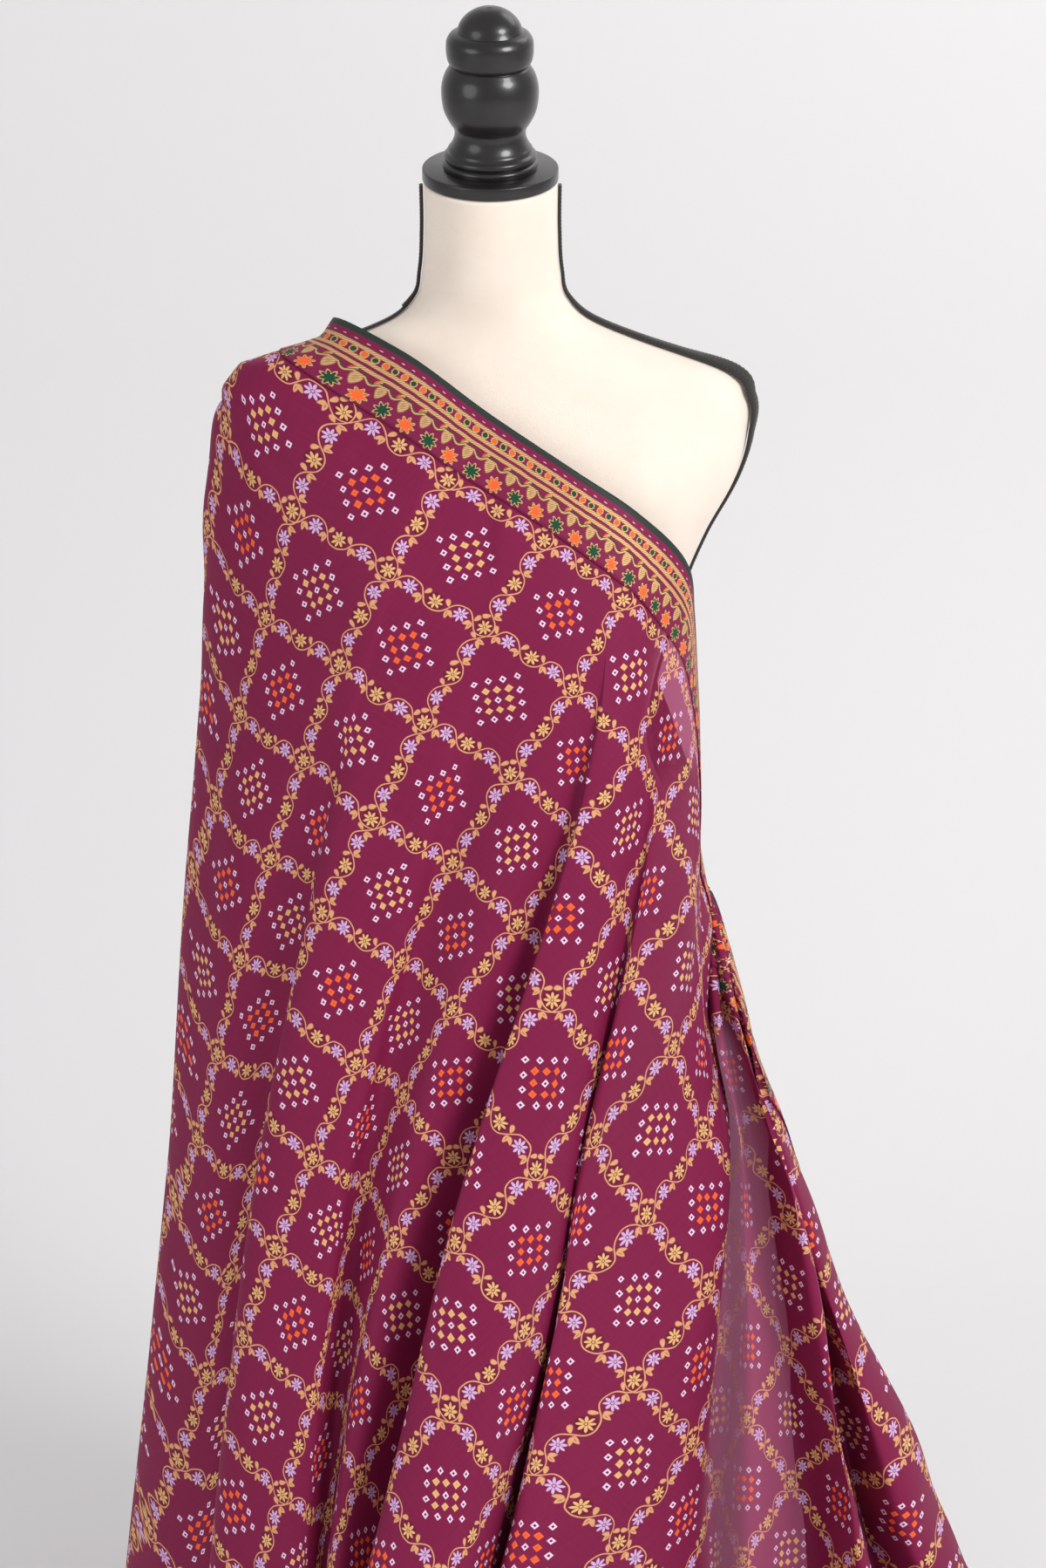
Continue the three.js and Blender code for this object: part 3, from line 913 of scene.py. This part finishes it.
@dataclass(frozen=True)
class Form:
    """The padded body and what is fixed to it, in millimetres."""

    gap: float = 4.2
    guarded: tuple = (628, 1290)
    bar_height: float = 1070.0
    bar_share: float = 0.62
    sides: int = 160
    rings: int = 220
    braid_rise: float = 1.05
    braid_reach: float = 40.0
    braid_ease: float = 0.08
    braid_sides: int = 22
    braid_ends: tuple = (1276, 646)
    braid_step: float = 0.62
    plait: float = 2.9
    covered_below: float = 1182.0
    covered_band: tuple = (8.0, 2.6, 0.0)

    def inside(self, points: np.ndarray) -> np.ndarray:
        """Marks points that lie in the body or nearer to it than the gap."""
        found = np.zeros(points.shape[:-1], bool)
        for step in (-5, -2, 0, 5):
            z = points[..., 2] + step
            half, front, back, shift = (
                np.interp(z, SECTIONS[:, 0], SECTIONS[:, c]) for c in (1, 2, 3, 4)
            )
            y = points[..., 1]
            rise = self.braid_rise * np.maximum(0, 1 - (y / self.braid_reach) ** 2)
            depth = np.where(y < shift, front, back) + self.gap
            ratio = np.hypot(points[..., 0] / (half + self.gap + rise), (y - shift) / depth)
            found |= (ratio < 1) & (z > self.guarded[0]) & (z < self.guarded[1])
        return found

    def clear(self, points: np.ndarray) -> np.ndarray:
        """Moves points out of the body, away from a bar across its shoulders."""
        hit = self.inside(points)
        if not hit.any():
            return points
        chosen = points[hit]
        bar = np.minimum(chosen[:, 2], self.bar_height)
        reach = np.interp(bar, SECTIONS[:, 0], SECTIONS[:, 1]) * self.bar_share
        root = np.stack([np.clip(chosen[:, 0], -reach, reach), np.zeros(len(bar)), bar], -1)
        away = chosen - root
        low, high = np.ones(len(bar)), np.full(len(bar), 40.0)
        for _ in range(30):
            mid = (low + high) / 2
            still = self.inside(root + away * mid[:, None])
            low, high = np.where(still, mid, low), np.where(still, high, mid)
        moved = points.copy()
        moved[hit] = root + away * high[:, None]
        return moved

    def body(self, finish: bpy.types.Material) -> bpy.types.Object:
        """Padded body: rings of half-ellipses, front and back depths apart, lofted."""
        low, high = SECTIONS[0, 0], SECTIONS[-1, 0]
        z = np.concatenate([[low], np.linspace(low, high, self.rings), [high]])
        half, front, back, shift, tip = hermite(SECTIONS[:, 0], SECTIONS[:, 1:], z).T
        shrink = np.ones(len(z))
        shrink[0] = shrink[-1] = PINCH
        cosine, sine = around(self.sides)
        reach = np.where(sine < 0, front, back) * sine * shrink
        points = np.stack([half * cosine * shrink, shift + reach, z + reach * np.tan(tip)], -1)
        faces = grid_faces(self.sides, len(z), True)[:, ::-1]
        made = mesh_object("form_body", points, faces, finish)
        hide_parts("torso")
        return made

    def braid(self, side: int, finish: bpy.types.Material) -> bpy.types.Object:
        """Plaited braid on a side seam, over the shoulder and round the arm opening.

        A flattened tube follows the side of the body. Its skin is raised in chevrons by
        a cosine of the length plus the distance from the middle of the braid.
        """
        z = np.linspace(*self.braid_ends, 900)
        table = hermite(SECTIONS[:, 0], SECTIONS[:, 1:], z)
        band = hermite(-BRAID[:, 0], BRAID[:, 1:], -z, steady=True)
        if side < 0:
            covered = (z < self.covered_below)[:, None]
            band = np.where(covered, np.minimum(band, self.covered_band), band)
            band[:, 2] = np.where(covered[:, 0], 0.0, band[:, 2])
        half, front, _, shift, _ = table.T
        forward = band[:, 2]
        x = half * np.sqrt(1 - (forward / front) ** 2)
        path = np.stack([x, shift + forward, z], -1)
        length = walked(path)
        steps = np.arange(0, length[-1], self.braid_step)
        facing = unit(np.stack([x / half**2, forward / front**2], -1))

        def at(values: np.ndarray) -> np.ndarray:
            """Values at even steps along the path."""
            return np.stack([np.interp(steps, length, column) for column in values.T], -1)

        line, band, facing = at(path), at(band), at(facing)
        along = unit(np.gradient(line, axis=0))
        way, forth = facing.T
        out = np.stack([-along[:, 2] * way, forth, along[:, 0] * way], -1)
        out = unit(out - along * (out * along).sum(axis=1, keepdims=True))
        across = np.cross(out, along)
        cosine, sine = around(self.braid_sides)
        wide, thick = band[:, 0] / 2, band[:, 1] / 2
        off = np.sign(cosine) * np.abs(cosine) ** 0.75 * wide
        chevron = np.cos(2 * np.pi * (steps + np.abs(off) * 0.9) / self.plait)
        groove = np.exp(-((off / 0.7) ** 2))
        swell = 1 + 0.17 * chevron * np.clip(0.4 + sine, 0, 1) - 0.16 * groove
        lift = 0.4 - self.braid_ease * band[:, 2] + thick + sine * thick * swell
        spread = off * (1 + 0.05 * chevron)
        tube = line + spread[..., None] * across + lift[..., None] * out
        tube[..., 0] *= side
        name = "braid_trim_right" if side > 0 else "braid_trim_left"
        faces = grid_faces(self.braid_sides, len(steps), True)[:, ::side]
        made = mesh_object(name, *with_ends(tube, faces, side), finish)
        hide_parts("braid_right" if side > 0 else "braid_left")
        return made


@dataclass(frozen=True)
class Turning:
    """A piece turned on a lathe and set on the leaning neck.

    The profile is rows of height, radius and whether the line turns sharply there. It is
    smooth between sharp rows, and is carried round the neck's axis.
    """

    name: str
    node: str
    profile: tuple
    above: float = 0.0
    sides: int = 112
    lean: float = math.radians(14.6)
    seat: tuple = (0.0, -28.6, 1284.5)

    def build(self, finish: bpy.types.Material) -> bpy.types.Object:
        """Makes the piece in place of its node."""
        rows = np.array(self.profile, float)
        sharp = np.flatnonzero(rows[:, 2])
        parts = []
        for start, end in zip(sharp[:-1], sharp[1:]):
            stretch = rows[start : end + 1, :2]
            knots = walked(stretch)
            steps = 2 if len(stretch) == 2 else int(knots[-1] / 0.9) + 3
            parts.append(hermite(knots, stretch, np.linspace(0, knots[-1], steps)))
        line = np.concatenate(parts)
        line[0, 1] = line[-1, 1] = PINCH
        line = line[np.append(True, np.diff(walked(line)) > 1e-6)]
        x, y = (line[:, 1] * ring for ring in around(self.sides))
        height = np.broadcast_to(line[:, 0], x.shape) + self.above
        sine, cosine = math.sin(self.lean), math.cos(self.lean)
        points = np.stack([x, y * cosine - height * sine, y * sine + height * cosine], -1)
        points += np.array(self.seat)
        faces = grid_faces(self.sides, len(line), True)[:, ::-1]
        made = mesh_object(self.name, points, faces, finish)
        made.data.set_sharp_from_angle(angle=math.radians(40))
        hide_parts(self.node)
        return made


# The cloth

# The bordered edge from the back to the front: run along it, then x y z.
NECKLINE = np.array(
    [
        (-520, 158, 62, 800),
        (-436, 128, 92, 878),
        (-361, 82, 108, 935),
        (-283, 28, 112, 992),
        (-204, -32, 106, 1052),
        (-130, -86, 80, 1112),
        (-60, -118, 0, 1174),
        (0, -66, -58, 1158),
        (80, -2, -86, 1116),
        (160, 63, -104, 1075),
        (215, 107, -98, 1044),
        (282, 145, -75, 1001),
        (330, 151, -56, 962),
        (408, 155, -40, 886),
        (480, 159, -18, 816),
        (550, 164, 5, 746),
        (603, 177, 10, 696),
    ],
    float,
)

# Front folds: name, run along the edge, shift of the print, slant in the flat cloth,
# give of the weave, chest x y z, thigh x y, hem x y.
FOLDS = (
    ("free edge", 566, 0, 0.5, 1.00, 196, 60, 640, 222, 110, 275, 150),
    ("turn back", 564, 0, 14.0, 1.00, 196, 12, 640, 240, 30, 452, 50),
    ("side ridge", 562, 0, 19.0, 1.00, 193, -6, 640, 233, -5, 400, -60),
    ("side valley", 560, 0, 23.0, 1.00, 189, 14, 640, 228, 25, 345, 0),
    ("eighth ridge", 558, 0, 28.0, 1.00, 188, -18, 640, 233, -30, 325, -130),
    ("sheer valley", 554, 0, 35.0, 1.00, 180, 0, 640, 208, 5, 280, -60),
    ("sheer strip", 548, 0, 42.0, 1.00, 174, -10, 640, 197, -10, 205, -100),
    ("sixth valley", 530, 0, 46.0, 1.02, 170, 5, 640, 188, 10, 180, -60),
    ("sixth ridge", 462, 0, 46.5, 1.04, 166, -30, 640, 178, -40, 140, -165),
    ("flat panel", 345, 4, 46.0, 1.09, 152, -60, 760, 116, -120, 65, -250),
    ("fourth ridge", 250, 14, 47.0, 1.08, 128, -110, 900, 56, -170, -48, -312),
    ("fourth valley", 220, 18, 48.0, 1.08, 118, -115, 900, 63, -146, -40, -270),
    ("broad ridge", 200, 10, 54.5, 1.07, 100, -125, 920, 18, -205, -95, -358),
    ("third ridge", 192, 10, 59.5, 1.05, 85, -130, 930, -38, -202, -148, -324),
    ("third valley", 184, 18, 64.0, 1.04, 75, -130, 930, -24, -140, -130, -236),
    ("middle ridge", 140, 22, 67.0, 1.02, 40, -133, 940, -79, -160, -150, -258),
    ("second valley", 105, 22, 70.5, 1.02, 0, -131, 950, -101, -131, -147, -234),
    ("second ridge", 95, 22, 72.5, 1.03, -15, -130, 950, -112, -147, -160, -258),
    ("small ridge", 80, 14, 75.0, 1.03, -40, -127, 960, -145, -140, -200, -225),
    ("first ridge", 55, 4, 76.5, 1.02, -75, -118, 970, -183, -120, -238, -180),
    ("first valley", 40, 0, 78.0, 1.00, -95, -112, 975, -180, -85, -235, -135),
    ("side panel", 0, -20, 76.0, 1.025, -140, -85, 1000, -202, -78, -249, -112),
    ("arm fold", -70, -40, 73.5, 1.035, -188, -36, 1085, -240, -40, -296, -56),
    ("shoulder side", -130, -40, 73.0, 1.03, -203, 12, 1112, -257, 8, -319, 12),
)
# The chest points of the back, from the covered shoulder round to the open side.
BACK_CHEST = np.array(
    [
        (-203, 12, 1112),
        (-164, 88, 1030),
        (-90, 122, 960),
        (0, 132, 890),
        (90, 128, 800),
        (168, 92, 690),
    ],
    float,
)
# The back's pleats: row, middle x, half width, half depth, how deep a pleat is.
BACK_ROWS = (("thigh", -42, 196, 205, 20), ("hem", -52, 231, 285, 36))
# How far down the four rows of points lie, from the edge to the hem.
ROW_PLACES = np.array([0, 0.16, 0.56, 1])


@dataclass
class Drape:
    """The hanging cloth as a surface over two parameters.

    Across runs round the cloth from the free front edge to the free back edge, through
    a table of folds. Down runs from the bordered edge to the hem. Each fold line passes
    the edge, a chest point, a thigh point and the hem as a smooth curve, the curves
    are joined smoothly across, and what would be in the form is moved out of it.
    """

    form: Form
    pleats: int = 9
    first_pleats: int = 4
    chest_pleat: float = 5.0
    pleat_lean: float = 0.35 / 400
    uneven: float = 0.22
    back_turn: float = 62.4
    thigh_height: float = 500.0
    hem_height: float = 8.0
    drawn_in: float = 16.0
    drawn_in_height: float = 930.0
    drawn_in_spread: float = 190.0
    give_length: float = 500.0
    rows: dict[str, np.ndarray] = field(init=False)
    across: np.ndarray = field(init=False)

    def __post_init__(self) -> None:
        """Sorts the fold table into columns and adds the pleats of the back."""
        names = ("run", "shift", "slant", "give", "chest", "thigh", "hem")
        made: dict[str, list] = {name: [] for name in names}
        for _, run, shift, slant, give, cx, cy, cz, tx, ty, hx, hy in FOLDS:
            point = (run, shift, slant, give, (cx, cy, cz), (tx, ty, self.thigh_height))
            for name, value in zip(names, (*point, (hx, hy, self.hem_height))):
                made[name].append(value)
        steps = self.pleats * 2
        for i in range(1, steps + 1):
            self._back_row(made, i, steps)
        self.rows = {name: np.array(values, float) for name, values in made.items()}
        self.across = (walked(self.rows["thigh"]) + walked(self.rows["hem"])) / 2

    def _back_row(self, made: dict[str, list], i: int, steps: int) -> None:
        """Adds one half pleat of the back."""
        t = i / steps
        bend = (-1 if i % 2 == 0 else 1) * (0 if i == steps else min(i / self.first_pleats, 1))
        uneven = 1 + self.uneven * math.sin(i * 2.3)
        turn = math.pi * (1 - 0.8 * t)
        chest = hermite(np.linspace(0, 1, len(BACK_CHEST)), BACK_CHEST, np.array([t]))[0]
        outwards = np.array([math.cos(turn), math.sin(turn), 0])
        _, run, shift, slant, give = FOLDS[-1][:5]
        made["run"].append(run + (NECKLINE[0, 0] - run) * t)
        made["shift"].append(shift * (1 - t))
        made["slant"].append(slant + self.back_turn * t)
        made["give"].append(give - (give - 1) * min(4 * t, 1))
        made["chest"].append(chest + bend * self.chest_pleat * outwards)
        for (key, cx, rx, ry, deep), z in zip(BACK_ROWS, (self.thigh_height, self.hem_height)):
            pull = bend * uneven * deep
            angle = turn + bend * deep * self.pleat_lean
            x = cx + (rx + pull) * math.cos(angle)
            made[key].append((x, (ry + pull) * math.sin(angle), z))

    def at(self, name: str, across: np.ndarray) -> np.ndarray:
        """Values of one column of the fold table at places round the cloth."""
        return hermite(self.across, self.rows[name], across)

    def points(self, across: np.ndarray, down: np.ndarray) -> np.ndarray:
        """Points of the cloth on a grid.

        Args:
            across: Places round the cloth, in millimetres of its knots.
            down: Shares of the way from the edge to the hem.

        Returns:
            Array of across by down points, in millimetres.
        """
        run = np.clip(self.at("run", across), NECKLINE[0, 0], NECKLINE[-1, 0])
        top = hermite(NECKLINE[:, 0], NECKLINE[:, 1:], run)
        path = np.stack([top, *(self.at(name, across) for name in ("chest", "thigh", "hem"))])
        grid = hermite(ROW_PLACES, path, down, steady=True).transpose(1, 0, 2)
        left = np.clip((-grid[..., 0] - 100) / 100, 0, 1)
        height = (grid[..., 2] - self.drawn_in_height) / self.drawn_in_spread
        grid[..., 0] += self.drawn_in * left * np.exp(-(height**2))
        return self.form.clear(grid)

    def flat(self, across: np.ndarray, points: np.ndarray) -> np.ndarray:
        """Where each point lies in the flat cloth, in millimetres.

        Run is measured along the border and depth square to it; a fold line keeps its
        hanging length, less the give of the weave.
        """
        run, slant, give = (self.at(name, across)[:, None] for name in ("run", "slant", "give"))
        slant = np.radians(slant)
        length = walked(points, axis=1)
        length = length / (1 + (give - 1) * np.clip(length / self.give_length, 0, 1))
        return np.stack([run + length * np.cos(slant), length * np.sin(slant)], -1)


@dataclass
class Saree:
    """The saree cloth and its border band, in millimetres."""

    drape: Drape
    columns: int = 620
    lines: int = 150
    lowest: float = 4.0
    fine: float = 1.3
    broad: float = 3.2
    gather: float = 0.7
    crease: float = 2.4
    sheer_chest: float = 0.26
    sheer_strip: float = 0.2
    band: float = 49.5
    band_runs: tuple = (-515, 1318, 2.4)
    band_lift: float = 0.9
    band_thickness: float = 0.7
    surface: tuple = ()

    def ripple(self, points: np.ndarray, flat: np.ndarray) -> np.ndarray:
        """Small soft folds and unevenness.

        Waves of a few sizes run along the fold lines and fade near the edge, soft
        creases cross the chest, and sums of sines keep any two folds from being alike.
        """
        u, v = flat[..., 0], flat[..., 1]
        normal = grid_normals(points)
        z = points[..., 2]
        low = np.clip((1050 - z) / 500, 0, 1)
        wander = 14 * np.sin(v / 170 + u / 260) + 9 * np.sin(v / 83 - u / 120 + 1.3)
        lines = np.sin((u - 0.35 * v + wander) / 13.0) * self.fine
        wide = np.sin((u - 0.3 * v + wander) / 31.0 + 0.7) * self.broad
        patch = 0.5 + 0.5 * np.sin(u / 97 + 2.1 * np.sin(v / 140))
        pucker = np.sin((v - 0.5 * u) / 17.0 + 2.2 * np.sin(u / 75)) * self.gather
        near = np.exp(-(((z - 1010) / 70) ** 2))
        crease = 0.5 + 0.5 * np.sin(v / 14.0 + 1.7 * np.sin(u / 105) + u / 150)
        drawn = 0.5 + 0.5 * np.sin(u / 62 + 1.4 * np.sin(v / 90) + 0.6)
        chest = np.clip((z - 760) / 120, 0, 1) * np.clip((v - 30) / 60, 0, 1)
        lift = (lines * patch + wide) * low + pucker * near
        lift += self.crease * crease * drawn * chest
        return points + normal * lift[..., None]

    def sheerness(self, across: np.ndarray, points: np.ndarray) -> np.ndarray:
        """How much light passes where the cloth hangs in one layer, clear of the form.

        It is one part under the raised arm side of the chest and a long strip between
        two folds, each with soft limits.
        """

        def rise(value: np.ndarray, low: float, high: float) -> np.ndarray:
            """Smooth step from nought to one."""
            t = np.clip((value - low) / (high - low), 0, 1)
            return t * t * (3 - 2 * t)

        knots = self.drape.across
        x, y, z = np.moveaxis(points, -1, 0)
        place = np.broadcast_to(across[:, None], z.shape)
        strip = rise(place, knots[4], knots[6]) * rise(-place, -knots[8], -knots[7])
        strip = strip * rise(-z, -640, -600)
        chest = rise(x, 108, 122) * rise(z, 835, 870) * rise(-z, -985, -950)
        chest = chest * (place < knots[12]) * (y < 0)
        return np.maximum(self.sheer_chest * chest, self.sheer_strip * strip)

    def cloth(self, finish: bpy.types.Material) -> tuple[bpy.types.Object, float]:
        """Builds the sheet.

        Args:
            finish: Material of the cloth.

        Returns:
            The object and its flat area in square metres.
        """
        across = np.linspace(0, self.drape.across[-1], self.columns)
        down = np.linspace(0, 1, self.lines)
        points = self.drape.points(across, down)
        flat = self.drape.flat(across, points)
        points = self.drape.form.clear(self.ripple(points, flat))
        points[..., 2] = np.maximum(points[..., 2], self.lowest)
        faces = grid_faces(self.columns, self.lines)
        depth = np.clip((flat[..., 1] - self.band) / 150, 0, 1)
        shift = self.drape.at("shift", across)[:, None] * depth
        printed = flat + np.stack([shift, np.zeros_like(depth)], -1)
        made = mesh_object("saree_sheet", points, faces, finish, printed * MM)
        sheer = made.data.attributes.new("sheer", "FLOAT", "POINT")
        sheer.data.foreach_set("value", self.sheerness(across, points).ravel())
        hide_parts("saree")
        edge_a = points[1:, :-1] - points[:-1, :-1]
        edge_b = points[:-1, 1:] - points[:-1, :-1]
        area = np.linalg.norm(np.cross(edge_a, edge_b), axis=-1).sum() * MM * MM
        self.surface = (across, down, points, flat)
        return made, float(area)

    def border(self, finish: bpy.types.Material) -> bpy.types.Object:
        """Band sewn on the bordered edge.

        For each run along the edge and depth from it, the place on the cloth is found by
        walking the fold lines: the line whose flat position passes the place is taken
        between its two neighbours, then the point at the right length along it.
        """
        across, _, points, flat = self.surface
        runs = np.arange(*self.band_runs)
        depths = np.linspace(-0.6, self.band, 16)
        start, slant = self.drape.at("run", across), np.radians(self.drape.at("slant", across))
        run_grid, depth_grid = np.meshgrid(runs, depths, indexing="ij")
        r, d = run_grid.ravel(), depth_grid.ravel()
        side = (r[:, None] - start) * np.sin(slant) - d[:, None] * np.cos(slant)
        k = np.clip((side > 0).argmax(axis=1), 1, len(across) - 1)
        rows = np.arange(len(r))
        before, after = side[rows, k - 1], side[rows, k]
        w = np.clip(-before / np.where(after == before, 1, after - before), 0, 1)
        length = np.hypot(flat[..., 0] - start[:, None], flat[..., 1])
        normal = grid_normals(points)

        def walk(column: np.ndarray, values: np.ndarray) -> np.ndarray:
            """Values at the wanted lengths along chosen fold lines."""
            want = (r - start[column]) * np.cos(slant[column]) + d * np.sin(slant[column])
            reach = length[column]
            j = np.clip((reach < want[:, None]).sum(axis=1), 1, reach.shape[1] - 1)
            low, high = reach[rows, j - 1], reach[rows, j]
            share = np.clip((want - low) / np.maximum(high - low, 1e-6), -0.5, 1)[:, None]
            return values[column, j - 1] * (1 - share) + values[column, j] * share

        place, out = (
            walk(k - 1, values) * (1 - w)[:, None] + walk(k, values) * w[:, None]
            for values in (points, normal)
        )
        place = place + unit(out) * self.band_lift
        place[:, 2] = np.maximum(place[:, 2], self.lowest)
        uv = np.stack([r, d], -1) * MM
        faces = grid_faces(len(runs), len(depths))[:, ::-1]
        made = mesh_object("saree_border", place, faces, finish, uv)
        thick = made.modifiers.new("thickness", "SOLIDIFY")
        thick.thickness = self.band_thickness * MM
        thick.offset = 0.0
        return made


# Surroundings


@dataclass(frozen=True)
class Studio:
    """Pale floor and backdrop, soft lights and the camera of the photo."""

    camera_place: tuple = (0.0239, -2.738, 1.499)
    pitch: float = 14.0
    lens: float = 84.1
    half_width: float = 5000.0
    front: float = -6000.0
    wall: float = 1800.0
    top: float = 5200.0
    bend: float = 900.0

    def backdrop(self) -> bpy.types.Object:
        """One curved sheet: floor, a quarter round and a wall that is clear from behind."""
        turn = np.linspace(0, np.pi / 2, 24)
        curve = self.wall - self.bend + self.bend * np.sin(turn)
        y = np.concatenate([[self.front], curve, [self.wall]])
        z = np.concatenate([[0], self.bend - self.bend * np.cos(turn), [self.top]])
        x = np.linspace(-self.half_width, self.half_width, 3)[:, None]
        paper = bpy.data.materials.new("backdrop_paper")
        paper.use_nodes = True
        g = Graph(paper.node_tree)
        surface = {"Base Color": rgb(233, 232, 232), "Roughness": 0.95}
        g.fill(paper.node_tree.nodes["Principled BSDF"], surface)
        g.see_through(g.value("ShaderNodeNewGeometry", output="Backfacing"))
        grid = np.stack(np.broadcast_arrays(x, y, z), -1)
        made = mesh_object("backdrop", grid, grid_faces(3, len(y))[:, ::-1], paper)
        return made

    def light(self, name: str, place: tuple, aim: tuple, size: float, power: float) -> None:
        """Adds one soft area light aimed at a point."""
        lamp = bpy.data.lights.new(name, "AREA")
        lamp.shape = "DISK"
        lamp.size = size
        lamp.energy = power
        made = bpy.data.objects.new(name, lamp)
        away = np.array(aim) - np.array(place)
        tilt = math.atan2(math.hypot(away[0], away[1]), -away[2])
        made.location = place
        made.rotation_euler = (tilt, 0.0, math.atan2(away[1], away[0]) - math.pi / 2)
        bpy.context.scene.collection.objects.link(made)

    def build(self) -> None:
        """Sets up the surroundings."""
        self.backdrop()
        world = bpy.data.worlds.new("studio")
        world.use_nodes = True
        sky = world.node_tree.nodes["Background"]
        sky.inputs[0].default_value = rgb(241, 240, 243)
        sky.inputs[1].default_value = 0.56
        bpy.context.scene.world = world
        self.light("window", (2.3, -2.3, 2.7), (0, 0, 1.15), 1.5, 91)
        self.light("fill", (-2.6, -2.4, 1.6), (0, 0, 0.9), 2.2, 27)
        self.light("wall_glow", (1.4, 1.0, 2.9), (0.5, 1.7, 1.1), 1.5, 12)
        bpy.context.scene.view_settings.view_transform = "Standard"
        data = bpy.data.cameras.new("camera")
        data.lens = self.lens
        data.sensor_width = 36.0
        made = bpy.data.objects.new("camera", data)
        made.location = self.camera_place
        made.rotation_euler = (math.radians(90 - self.pitch), 0.0, 0.0)
        bpy.context.scene.collection.objects.link(made)
        bpy.context.scene.camera = made


# Assembly


def dress_solid(
    nodes: dict[str, bpy.types.Object], name: str, finish: bpy.types.Material
) -> None:
    """Gives a CAD node that stays in view its material."""
    node = nodes[name]
    node.data.materials.clear()
    node.data.materials.append(finish)
    node.data.polygons.foreach_set("use_smooth", np.ones(len(node.data.polygons), bool))
    node.data.set_sharp_from_angle(angle=math.radians(38))


def settle(piece: bpy.types.Object) -> None:
    """Fixes a new piece to the object and logs it."""
    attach(piece, "root")
    LOG.info("%s: %d vertices", piece.name, len(piece.data.vertices))


def main() -> None:
    """Builds the whole scene."""
    logging.basicConfig(level=logging.INFO, format="%(message)s")
    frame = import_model()
    nodes = frame["nodes"]
    finishes = Finishes(Palette())
    form = Form()
    lacquer = finishes.lacquer("turned_black", 0.26)
    for turning in (
        Turning("cap_disc", "neck_cap", CAP),
        Turning("turned_finial", "finial", FINIAL, above=5.1),
    ):
        settle(turning.build(lacquer))
    stand = finishes.lacquer("stand_black", 0.4)
    dress_solid(nodes, "stand_base", stand)
    dress_solid(nodes, "stand_pole", stand)
    settle(form.body(finishes.linen()))
    braid = finishes.braid()
    for side in (1, -1):
        settle(form.braid(side, braid))
    saree = Saree(Drape(form))
    cloth, area = saree.cloth(finishes.cloth())
    settle(cloth)
    LOG.info("cloth area %.3f square metres", area)
    band = saree.border(finishes.border())
    settle(band)
    Studio().build()


if __name__ == "__main__":
    main()
